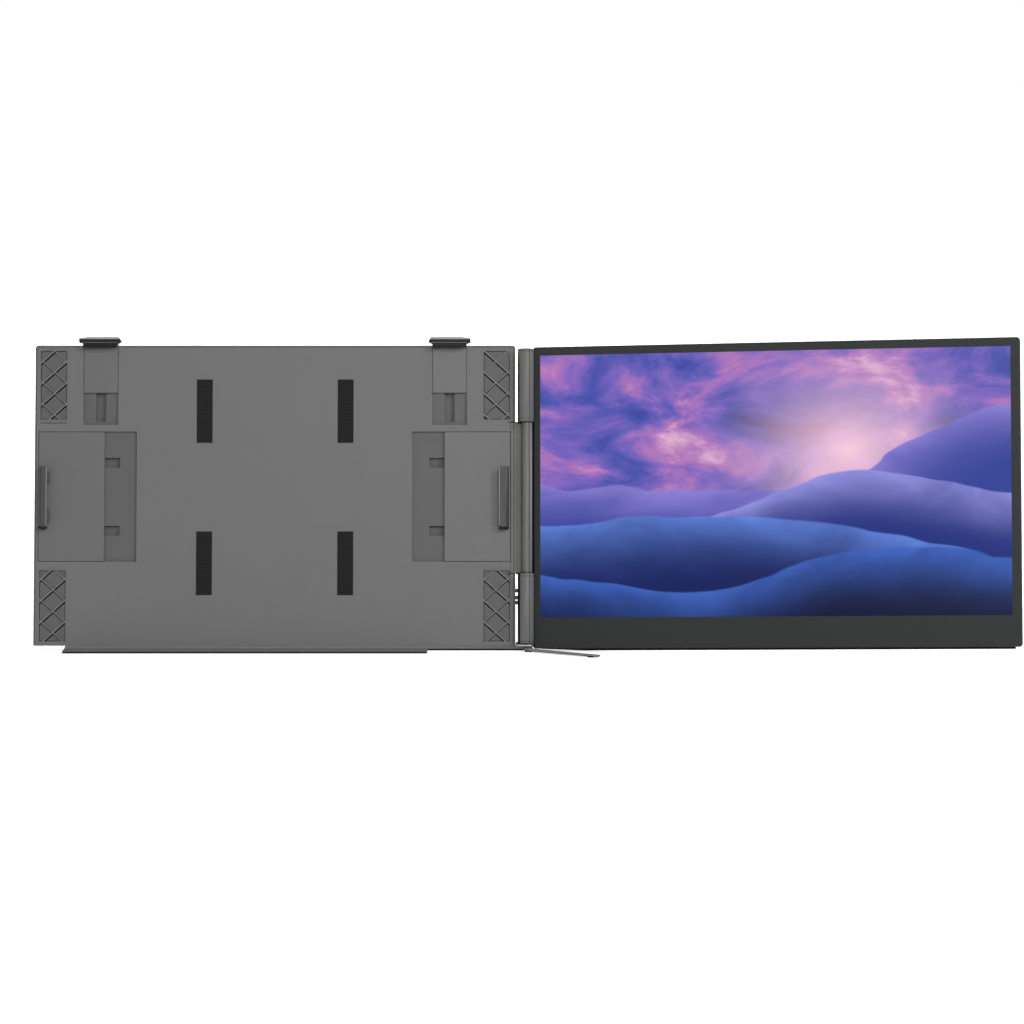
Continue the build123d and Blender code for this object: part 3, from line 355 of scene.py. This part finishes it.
def soften(piece, width):
    """Join the mesh and its flats, then round its sharp edges."""
    weld = piece.modifiers.new("weld", "WELD")
    weld.merge_threshold = 2e-6
    thin = piece.modifiers.new("join_flats", "DECIMATE")
    thin.decimate_type = "DISSOLVE"
    thin.angle_limit = math.radians(0.6)
    bevel = piece.modifiers.new("soft_edge", "BEVEL")
    bevel.width = width
    bevel.segments = 2
    bevel.limit_method = "ANGLE"
    bevel.angle_limit = math.radians(32)
    bevel.use_clamp_overlap = False
    bevel.harden_normals = True


slot_of = {entry["node"]: entry["material_slot"] for entry in frame["record"]["subparts"]}
for name, node in nodes.items():
    finish = OWN_FINISH.get(name) or FINISH.get(slot_of.get(name), FINISH["bracket_shell"])
    for held in node.material_slots:
        held.material = finish
    if name in EDGE:
        soften(node, EDGE[name] * MM)


# ---- screen picture ---------------------------------------------------------------------------
def make_picture_material():
    """Abstract wallpaper: drifting cloud tones over folded bands of light."""
    material, tree, shader = new_material("screen_wallpaper")
    uv = tree.nodes.new("ShaderNodeUVMap")
    uv.uv_map = "screen"
    parts = tree.nodes.new("ShaderNodeSeparateXYZ")
    tree.links.new(uv.outputs[0], parts.inputs[0])
    x, y = parts.outputs[0], parts.outputs[1]
    wide = vector_node(tree, "MULTIPLY", uv.outputs[0], (1.78, 1.9, 1.0))
    mist = noise(tree, wide, 2.6, 7.0, 0.58, 0.5)
    soft = noise(tree, wide, 1.3, 3.0, 0.5, 0.3)
    ramp = tree.nodes.new("ShaderNodeValToRGB")
    tree.links.new(spread(tree, mist, 0.28, 0.72, 0.0, 1.0), ramp.inputs[0])
    stops = [(0.0, srgb(32, 52, 128)), (0.3, srgb(74, 82, 172)), (0.52, srgb(120, 98, 188)),
             (0.72, srgb(176, 118, 186)), (1.0, srgb(236, 190, 214))]
    elements = ramp.color_ramp.elements
    elements[0].position, elements[0].color = stops[0]
    elements[1].position, elements[1].color = stops[-1]
    for place, tint in stops[1:-1]:
        elements.new(place).color = tint
    colour = ramp.outputs[0]
    glow_x, glow_y, flatter = 0.66, 0.62, 0.75
    dx = math_node(tree, "SUBTRACT", x, glow_x)
    dy = math_node(tree, "MULTIPLY", math_node(tree, "SUBTRACT", y, glow_y), flatter)
    far = math_node(tree, "SQRT", math_node(tree, "ADD", math_node(tree, "MULTIPLY", dx, dx),
                                            math_node(tree, "MULTIPLY", dy, dy)))
    glow = math_node(tree, "POWER", spread(tree, far, 0.0, 0.36, 1.0, 0.0), 1.8)
    colour = mix_colour(tree, "SCREEN", glow, colour, srgb(250, 196, 190))
    # each fold's height, swell, turns, start and tilt, then its crest's and its trough's colour
    bands = [(0.56, 0.10, 5.2, 0.4, 0.28, srgb(140, 128, 214), srgb(44, 62, 150)),
             (0.42, 0.09, 6.6, 2.2, 0.22, srgb(150, 150, 230), srgb(26, 44, 124)),
             (0.30, 0.07, 4.4, 4.0, -0.18, srgb(96, 132, 222), srgb(14, 28, 92)),
             (0.17, 0.06, 7.4, 0.9, 0.10, srgb(64, 104, 200), srgb(6, 14, 54))]
    for base, swell, turns, start, tilt, crest, trough in bands:
        phase = math_node(tree, "MULTIPLY_ADD", x, turns, start)
        phase = math_node(tree, "MULTIPLY_ADD", soft, 3.2, phase)
        line = math_node(tree, "MULTIPLY_ADD", math_node(tree, "SINE", phase), swell, base)
        line = math_node(tree, "MULTIPLY_ADD", math_node(tree, "SUBTRACT", x, 0.5), tilt, line)
        under = math_node(tree, "SUBTRACT", line, y)
        cover = spread(tree, under, -0.004, 0.006, 0.0, 1.0, True)
        fall = math_node(tree, "POWER", spread(tree, under, 0.0, 0.26, 1.0, 0.0), 2.2)
        sheen = math_node(tree, "MULTIPLY", fall, spread(tree, mist, 0.3, 0.7, 0.55, 1.15))
        body = mix_colour(tree, "MIX", sheen, trough, crest)
        colour = mix_colour(tree, "MIX", cover, colour, body)
    tree.links.new(colour, shader.inputs["Emission Color"])
    shader.inputs["Emission Strength"].default_value = 1.0
    shader.inputs["Base Color"].default_value = (0.0, 0.0, 0.0, 1.0)
    shader.inputs["Roughness"].default_value = 0.3
    shader.inputs["Specular IOR Level"].default_value = 0.1
    return material


def finish_mesh(name, shape, place, material, body, smooth=True):
    """Turn a bmesh drawn in a body's own frame into a finished piece at the origin."""
    shape.transform(place)
    mesh = bpy.data.meshes.new(name)
    shape.to_mesh(mesh)
    shape.free()
    for face in mesh.polygons:
        face.use_smooth = smooth
    piece = bpy.data.objects.new(name, mesh)
    bpy.context.scene.collection.objects.link(piece)
    mesh.materials.append(material)
    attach(piece, body)


def make_screen_picture():
    """Lit picture, one flat face just in front of the panel's glass."""
    (x0, x1), (z0, z1) = SCREEN_X, SCREEN_Z
    shape = bmesh.new()
    size = Matrix.Diagonal(((x1 - x0) * MM, (z1 - z0) * MM, 1.0, 1.0))
    middle = Matrix.Translation(Vector((x0 + x1, 2 * SCREEN_FACE, z0 + z1)) / 2 * MM)
    upright = Matrix.Rotation(math.pi / 2, 4, "X")
    bmesh.ops.create_grid(shape, x_segments=1, y_segments=1, size=0.5,
                          matrix=middle @ upright @ size)
    layer = shape.loops.layers.uv.new("screen")
    for face in shape.faces:
        for loop in face.loops:
            aside = loop.vert.co - middle.translation
            loop[layer].uv = (float(aside.x > 0), float(aside.z > 0))
    finish_mesh("screen_picture", shape, MONITOR, make_picture_material(), "monitor",
                smooth=False)


make_screen_picture()


# ---- small forms drawn with the mesh operators ------------------------------------------------
def box_in(shape, x, y, z, turn=None):
    """Box between two corners, in millimetres, turned about its own middle when asked."""
    middle = Matrix.Translation(Vector([(a + b) / 2 for a, b in (x, y, z)]) * MM)
    size = Matrix.Diagonal((*((b - a) * MM for a, b in (x, y, z)), 1.0))
    place = middle @ turn @ size if turn else middle @ size
    bmesh.ops.create_cube(shape, size=1.0, matrix=place)


def profile(shape, inner, outer, low, high, start):
    """Corners of a ring's section at an angle about the hinge axis, in millimetres and degrees."""
    aside = Vector((math.cos(math.radians(start)), math.sin(math.radians(start)), 0))
    return [shape.verts.new((aside * r + Vector((0, 0, z))) * MM)
            for r, z in ((inner, low), (outer, low), (outer, high), (inner, high))]


def spin_round(shape, geom, angle, steps, whole):
    """Spin a section about the hinge axis, and turn the faces outwards."""
    bmesh.ops.spin(shape, geom=geom, cent=(0, 0, 0), axis=(0, 0, 1), angle=angle, steps=steps,
                   use_merge=whole)
    bmesh.ops.recalc_face_normals(shape, faces=shape.faces[:])


def ring_in(shape, inner, outer, low, high):
    """Ring about the hinge axis, its profile spun once round."""
    corners = profile(shape, inner, outer, low, high, 0)
    edges = [shape.edges.new((corners[i], corners[(i + 1) % 4])) for i in range(4)]
    spin_round(shape, corners + edges, 2 * math.pi, 48, True)


def arc_in(shape, inner, outer, low, high, start, sweep):
    """Part of a ring about the hinge axis, closed at both ends; angles in degrees."""
    corners = profile(shape, inner, outer, low, high, start)
    face = shape.faces.new(corners)
    spin_round(shape, corners + face.edges[:] + [face], math.radians(sweep), 10, False)


def trim(shape, point, outward):
    """Cut away what lies beyond a plane, and close the cut."""
    geom = shape.verts[:] + shape.edges[:] + shape.faces[:]
    cut = bmesh.ops.bisect_plane(shape, geom=geom, plane_co=[c * MM for c in point],
                                 plane_no=outward, clear_outer=True)["geom_cut"]
    edges = [item for item in cut if isinstance(item, bmesh.types.BMEdge)]
    if edges:
        bmesh.ops.holes_fill(shape, edges=edges, sides=0)


def round_edges(shape, width):
    bmesh.ops.bevel(shape, geom=shape.edges[:], offset=width * MM, affect="EDGES", segments=2,
                    profile=0.5, material=-1)


# ---- relief panels: painted shadows beside the ribs, painted highlights on rib tops ------------
RIB_SLOPE = math.radians(42.0)
RIB_PITCH = 18.8
RIGHT_PANEL, LEFT_PANEL = (-37.0, -14.0), (-427.1, -404.1)
LOW_PANEL, HIGH_PANEL = (3.5, 65.7), (198.7, 259.3)
# width and height of each panel, X of its ribs' crossings, and the first one under its top
PANELS = [(RIGHT_PANEL, LOW_PANEL, -15.8, 0.4 * RIB_PITCH),
          (RIGHT_PANEL, HIGH_PANEL, -15.8, RIB_PITCH),
          (LEFT_PANEL, LOW_PANEL, -425.3, 0.4 * RIB_PITCH),
          (LEFT_PANEL, HIGH_PANEL, -425.3, 0.5 * RIB_PITCH)]
PANEL_FRAME = 0.6


def panel_lines(panel, slope, offset, width, front, back):
    """Thin bars parallel to one set of a panel's ribs, trimmed to the panel."""
    (x0, x1), (z0, z1), cross_x, first_drop = panel
    shape = bmesh.new()
    turn = Matrix.Rotation(slope, 4, "Y")
    beside = turn @ Vector((0, 0, offset))
    half_length, half_width = 40, width / 2
    cross_z = z1 - first_drop
    while cross_z > z0 - RIB_PITCH:
        x, z = cross_x + beside.x, cross_z + beside.z
        box_in(shape, (x - half_length, x + half_length), (front, back),
               (z - half_width, z + half_width), turn)
        cross_z -= RIB_PITCH
    for point, outward in (((x0, 0, 0), (-1, 0, 0)), ((x1, 0, 0), (1, 0, 0)),
                           ((0, 0, z0), (0, 0, -1)), ((0, 0, z1), (0, 0, 1))):
        trim(shape, point, outward)
    return shape


def gather(shapes):
    """Join several drawn shapes into one."""
    whole = bmesh.new()
    for shape in shapes:
        held = bpy.data.meshes.new("held")
        shape.to_mesh(held)
        shape.free()
        whole.from_mesh(held)
        bpy.data.meshes.remove(held)
    return whole


def panel_frames():
    """Painted shade: narrow dark lines round the floors of all the panels."""
    shape = bmesh.new()
    y = (RELIEF_FLOOR - 0.08, RELIEF_FLOOR + 0.1)
    for (x0, x1), (z0, z1), *_ in PANELS:
        for x in ((x0, x0 + PANEL_FRAME), (x1 - PANEL_FRAME, x1)):
            box_in(shape, x, y, (z0, z1))
        for z in ((z0, z0 + PANEL_FRAME), (z1 - PANEL_FRAME, z1)):
            box_in(shape, (x0, x1), y, z)
    return shape


def make_relief_lines():
    """Painted shadows beside the ribs in both directions and round the panel floors, and painted
    highlights on the tops of the falling ones.
    """
    rib_shadow = grained("rib_painted_shadow", srgb(10), 0.8, scale=3000.0, specular=0.1)
    faint_shadow = grained("rib_painted_shadow_faint", srgb(46), 0.7, scale=3000.0, specular=0.2)
    painted_highlight = grained("rib_painted_highlight", srgb(122), 0.5, scale=3000.0, speckle=0.3)
    floor, top = RELIEF_FLOOR, LID_PLANE
    # direction, distance beside the rib's middle, width, front and back of each set of lines
    # painted shadows beside the ribs and round the panel floors, painted highlights on the falling
    # ribs' tops
    for name, material, sense, offset, width, front, back in (
            ("relief_painted_shadows", rib_shadow, 1, -1.05, 1.2, floor - 0.12, floor + 0.1),
            ("relief_cross_painted_shadows", faint_shadow, -1, -0.9, 0.8, floor - 0.1, floor + 0.1),
            ("relief_rib_painted_highlights", painted_highlight, 1, 0.25, 0.4, top + 0.16, top + 0.3)):
        shapes = []
        for panel in PANELS:
            slope = RIB_SLOPE * (sense if panel[0] == RIGHT_PANEL else -sense)
            shapes.append(panel_lines(panel, slope, offset, width, front, back))
        if material == faint_shadow:
            shapes.append(panel_frames())
        finish_mesh(name, gather(shapes), BRACKET, material, "bracket",
                    smooth=False)


make_relief_lines()


# ---- hinge: painted shade in the gaps and down the barrels, painted highlights, seams of the barrels ---
def make_block_details():
    """Dark washers at both ends of the block and a stop beside each, as painted shade in the gaps,
    and painted highlights on the block's edges.
    """
    play = 0.05
    gap_shade_shape = bmesh.new()
    for low, high in ((LOWER_BARREL[1], BLOCK[0]), (BLOCK[1], UPPER_BARREL[0])):
        ring_in(gap_shade_shape, BARREL_BORE + play, BARREL_RADIUS - 0.1, low + play, high - play)
    # painted shade: dark stops that fill the gaps beside the washers
    stop_x, stop_y = (-8.6, -2.95), (6.7, 8.3)
    for stop_z in ((62.45, 63.5), (195.4, 196.5)):
        box_in(gap_shade_shape, stop_x, stop_y, stop_z)
    finish_mesh("thrust_washers_painted_shade", gap_shade_shape, BRACKET, DARK_POLYMER_AND_SHADE, "bracket")
    lit_edges = bmesh.new()
    start, sweep = -52, 34
    arc_in(lit_edges, NOSE_ROUND - 0.3, NOSE_ROUND + 0.05, BLOCK[0] + 0.3, BLOCK[1] - 0.3, start, sweep)
    bmesh.ops.translate(lit_edges, vec=Vector((*NOSE_CENTRE, 0)) * MM, verts=lit_edges.verts[:])
    plate_x = (-12.9, -4.4)
    box_in(lit_edges, plate_x, (LID_PLANE - 0.08, LID_PLANE + 0.2), (BLOCK[0] + 0.25, BLOCK[0] + 0.9))
    # painted highlights: the lit flank of the nose and the plate's lower edge
    painted_highlight = grained("hinge_painted_highlight", srgb(134), 0.38, scale=3000.0, speckle=0.25)
    finish_mesh("block_edge_painted_highlights", lit_edges, BRACKET, painted_highlight, "bracket")


def make_barrel_details():
    """Seams near the barrels' ends, painted shade down their left sides, and a dark sheet behind
    the gap as painted shade.
    """
    seam_width = 0.3
    seams = bmesh.new()
    for low in (3.0, 60.2, 198.6, 257.9):
        ring_in(seams, BARREL_RADIUS - 0.2, BARREL_RADIUS + 0.03, low, low + seam_width)
    for low, high in ((LOWER_BARREL[0] + 0.02, 1.5), (259.6, UPPER_BARREL[1] - 0.02)):
        ring_in(seams, BARREL_RADIUS - 0.8, BARREL_RADIUS + 0.04, low, high)
    # painted shade down the barrels' left flanks
    start = 183
    side_shade = bmesh.new()
    for low, high, sweep in ((1.2, 62.7, 52), (196.2, 259.9, 44)):
        arc_in(side_shade, BARREL_RADIUS - 0.5, BARREL_RADIUS + 0.07, low, high, start, sweep)
    # painted shade: a dark sheet behind the gap between the nose and the bezel
    shield_x, shield_y, shield_z = (2.9, 6.3), (12.6, 13.7), (62.3, 197.4)
    shield = bmesh.new()
    box_in(shield, shield_x, shield_y, shield_z)
    round_edges(shield, 0.15)
    for name, shape in (("barrel_seams", seams), ("barrel_side_painted_shade", side_shade),
                        ("hinge_gap_painted_shade", shield)):
        finish_mesh(name, shape, MONITOR, DARK_POLYMER_AND_SHADE, "monitor")


make_block_details()
make_barrel_details()


# ---- strips of painted shade: under the monitor, under the rail -------------------------------
def make_foot_strips():
    """Black strips as painted shade under the monitor and under the rail's front edge, and the stop
    at the rail's end.
    """
    # painted shade: black strips under the monitor's bottom edge and under the rail's front edge
    dark_strip_shade = grained("foot_painted_shade", srgb(16), 0.8, scale=1500.0, relief=0.4, specular=0.15)
    strip_x, strip_y, strip_z = (12, 424), (9.0, 12.4), (-4.6, -2.7)
    strip = bmesh.new()
    box_in(strip, strip_x, strip_y, strip_z)
    taper_end, thin_end = 50 * MM, -3.05 * MM
    bmesh.ops.bisect_plane(strip, geom=strip.verts[:] + strip.edges[:] + strip.faces[:],
                           plane_co=(taper_end, 0, 0), plane_no=(1, 0, 0))
    for vert in strip.verts:
        if vert.co.z < thin_end and vert.co.x < taper_end / 2:
            vert.co.z = thin_end
    round_edges(strip, 0.15)
    finish_mesh("monitor_foot_painted_shade", strip, MONITOR, dark_strip_shade, "monitor")
    short_lip, long_lip = ((-86, -1.6), (1.95, 2.6)), ((-404, -86.2), (-14.2, -13.4))
    lip = bmesh.new()
    for x, y in (short_lip, long_lip):
        box_in(lip, x, y, (0.03, 1.1))
    finish_mesh("rail_lip_painted_shadow", lip, TABLE, dark_strip_shade, "bracket")
    stop_x, stop_y, stop_z = (-8.8, 9.4), (14.7, 16.9), (0.8, 5.2)
    stop = bmesh.new()
    box_in(stop, stop_x, stop_y, stop_z)
    round_edges(stop, 0.3)
    finish_mesh("rail_end_stop", stop, TABLE, FINISH["stand_metal"], "bracket")


make_foot_strips()


# ---- fine lines, painted highlights and painted shade -----------------------------------------
def make_contour_lines():
    """Fine scored lines along the bracket's front edges, and a painted highlight line across each
    cap's front.
    """
    scored = grained("scored_line", srgb(48), 0.7, scale=3000.0, specular=0.2)
    lines = bmesh.new()
    sides = [(x, (1.5, 262.9)) for x in ((-10.8, -10.35), (-430.85, -430.4))]
    tops = [(x, (262.45, 262.9)) for x in ((-430.85, -394.0), (-354.0, -87.0), (-47.0, -10.35))]
    ends = [((-16.0, -9.3), z) for z in ((62.5, 63.3), (195.7, 196.4))]
    over_arm = [(LEFT_PANEL, (195.2, 195.9))]
    for x, z in sides + tops + over_arm + ends:
        box_in(lines, x, (LID_PLANE - 0.03, LID_PLANE + 0.1), z)
    finish_mesh("bracket_score_lines", lines, BRACKET, scored, "bracket",
                smooth=False)
    # painted highlight: a pale line along each cap's lip
    pale = grained("cap_line_painted_highlight", srgb(105), 0.6, scale=3000.0)
    half_length, y, z = 15.5, (-2.84, -2.7), (265.7, 266.05)
    for side, middle in (("left", -374.0), ("right", -67.1)):
        line = bmesh.new()
        box_in(line, (middle - half_length, middle + half_length), y, z)
        finish_mesh(side + "_cap_painted_highlight", line, BRACKET, pale, side + "_top_clip",
                    smooth=False)


make_contour_lines()


def make_hook_ends():
    """Painted shade as dark ends under the side hooks, and a painted highlight on the inner edge of
    each hook's lip.
    """
    # painted highlight on each lip's inner edge; the dark ends below it are painted shade
    painted_highlight = grained("hook_wear", srgb(118), 0.4, scale=3000.0, speckle=0.3)
    # ending of the name, X at the left and at the right, Y, Z, rounding, material and slot
    kinds = (("_hook_painted_highlight", (-420.95, -420.05), (-23.7, -22.8), (-2.88, -2.2), (105.2, 156.2), 0.2,
              painted_highlight, "hook_black"),
             ("_hook_end_painted_shade", (-427.3, -420.3), (-23.4, -14.9), (-2.7, 6.3), (102.3, 104.0), 0.35,
              DARK_POLYMER_AND_SHADE, "rubber_black"))
    for ending, left_x, right_x, y, z, rounding, material, slot in kinds:
        for side, x in (("left", left_x), ("right", right_x)):
            shape = bmesh.new()
            box_in(shape, x, y, z)
            round_edges(shape, rounding)
            finish_mesh(side + ending, shape, BRACKET, material, side + "_arm")


make_hook_ends()


# ---- screws: painted shade of cross recesses over the heads ------------------------------------
def make_screw_recesses():
    """Painted shade of cross recesses: dark crosses on the screw heads, each turned a little
    further than the last.
    """
    # painted shade standing for the recesses' hollows
    recess_painted_shade = grained("recess_shade", srgb(8), 0.7, scale=3000.0)
    # piece, frame, body, plane and radius of the heads, and the columns and rows of the screws
    plans = [("bracket_screw_recess_painted_shade", BRACKET, "bracket", 16.2, 2.8,
              [(x, z) for x in (-312.0, -129.1) for z in (20.0, 250.2)]),
             ("monitor_screw_recess_painted_shade", MONITOR, "monitor", 13.8, 1.9,
              [(x, z) for x in (46.2, 418.0) for z in (9.1, 258.0)])]
    for name, place, body, face_y, radius, spots in plans:
        shape = bmesh.new()
        half_length, half_width = 0.62 * radius, 0.14 * radius
        for index, (x, z) in enumerate(spots):
            for turn in (0, 90):
                spin = Matrix.Rotation(math.radians(turn + 23 * index), 4, "Y")
                box_in(shape, (x - half_length, x + half_length), (face_y - 0.2, face_y + 0.02),
                       (z - half_width, z + half_width), spin)
        finish_mesh(name, shape, place, recess_painted_shade, body, smooth=False)


make_screw_recesses()


# ---- marks on the buttons -----------------------------------------------------------------------
def make_button_marks():
    """Plus, minus and on-off signs, raised a little from the buttons' outer faces."""
    pale = grained("mark_print", srgb(186), 0.5, scale=3000.0, speckle=0.05)
    skin = (-9.34, -9.2)
    thin, long = (-0.12, 0.12), (-0.75, 0.75)
    marks = {"power_button": [(thin, (0.1, 0.9))],
             "plus_button": [(long, thin), (thin, long)],
             "minus_button": [(long, thin)]}
    for name, bars in marks.items():
        low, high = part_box(name)
        middle = MONITOR.inverted() @ ((Vector(low) + Vector(high)) / 2) / MM
        shape = bmesh.new()
        for y, z in bars:
            box_in(shape, skin, [middle.y + v for v in y], [middle.z + v for v in z])
        if name == "power_button":
            radius, steps = 0.7, 24
            for step in range(3, steps - 2):
                a = 2 * math.pi * step / steps
                y, z = middle.y + radius * math.sin(a), middle.z + radius * math.cos(a)
                box_in(shape, skin, (y - 0.1, y + 0.1), (z - 0.12, z + 0.12),
                       Matrix.Rotation(-a, 4, "X"))
        finish_mesh(name + "_mark", shape, MONITOR, pale, name, smooth=False)


make_button_marks()


# ---- floor, light and camera ------------------------------------------------------------------
def make_floor():
    """Wide pale floor that the camera and reflections see as white, and that keeps its shadow."""
    shape = bmesh.new()
    bmesh.ops.create_grid(shape, x_segments=1, y_segments=1, size=200.0)
    mesh = bpy.data.meshes.new("floor")
    shape.to_mesh(mesh)
    shape.free()
    floor = bpy.data.objects.new("floor", mesh)
    bpy.context.scene.collection.objects.link(floor)
    material, tree, shader = new_material("pale_floor")
    shader.inputs["Base Color"].default_value = (0.86, 0.86, 0.86, 1)
    shader.inputs["Roughness"].default_value = 0.9
    shader.inputs["Specular IOR Level"].default_value = 0.1
    rays = light_path(tree)
    away = vector_node(tree, "LENGTH", object_point(tree))
    near, far, near_glow, far_glow, mirrored_glow = 1.2, 6.0, 0.58, 0.9, 0.2
    lift = spread(tree, away, near, far, near_glow, far_glow, True)
    seen = math_node(tree, "MULTIPLY", rays["Is Camera Ray"], lift)
    for kind in ("Is Glossy Ray", "Is Transmission Ray"):
        seen = math_node(tree, "MULTIPLY_ADD", rays[kind], mirrored_glow, seen)
    shader.inputs["Emission Color"].default_value = (1, 1, 1, 1)
    tree.links.new(seen, shader.inputs["Emission Strength"])
    mesh.materials.append(material)


def make_world():
    """Dim even light, that the camera and reflections see as white."""
    world = bpy.data.worlds.new("studio")
    bpy.context.scene.world = world
    world.use_nodes = True
    tree = world.node_tree
    tree.nodes.clear()
    rays = light_path(tree)
    either = rays["Is Camera Ray"]
    for kind in ("Is Glossy Ray", "Is Transmission Ray"):
        either = math_node(tree, "MAXIMUM", either, rays[kind])
    mix = tree.nodes.new("ShaderNodeMixShader")
    tree.links.new(either, mix.inputs[0])
    dim, full = 0.13, 1.0
    for socket, strength in ((mix.inputs[1], dim), (mix.inputs[2], full)):
        white = tree.nodes.new("ShaderNodeBackground")
        white.inputs["Color"].default_value = (1, 1, 1, 1)
        white.inputs["Strength"].default_value = strength
        tree.links.new(white.outputs[0], socket)
    out = tree.nodes.new("ShaderNodeOutputWorld")
    tree.links.new(mix.outputs[0], out.inputs["Surface"])


def make_lamp(name, place, target, size, power):
    """Rectangular lamp of a size in metres and a power in watts, aimed at a point."""
    data = bpy.data.lights.new(name, "AREA")
    data.shape = "RECTANGLE"
    data.size, data.size_y = size
    data.energy = power
    lamp = bpy.data.objects.new(name, data)
    lamp.location = place
    lamp.rotation_euler = (Vector(target) - Vector(place)).to_track_quat("-Z", "Y").to_euler()
    bpy.context.scene.collection.objects.link(lamp)


def make_camera():
    """Level with the picture's sides, looking down a little from in front."""
    focal_pixels, picture_pixels, downward_degrees = 3399.1, 1024, 7.138
    data = bpy.data.cameras.new("camera")
    data.sensor_width = 36.0
    data.lens = focal_pixels / picture_pixels * data.sensor_width
    data.clip_end = 100.0
    camera = bpy.data.objects.new("camera", data)
    camera.location = (-0.0121, -2.9359, 0.4901)
    camera.rotation_euler = (math.radians(90 - downward_degrees), 0, 0)
    bpy.context.scene.collection.objects.link(camera)
    bpy.context.scene.camera = camera


make_floor()
make_world()
for lamp in (("key", (2.2, -2.8, 2.0), (0, 0, 0.12), (0.9, 0.9), 62),
             ("front", (0.3, -3.7, 1.5), (0, 0, 0.12), (0.9, 0.9), 46),
             ("top", (0.1, 0.5, 3.4), (0, 0, 0.1), (2.4, 1.2), 42),
             ("rear", (-1.0, 3.0, 1.9), (0, 0, 0.1), (2.0, 1.4), 120)):
    make_lamp(*lamp)
make_camera()
bpy.context.scene.view_settings.view_transform = "Standard"
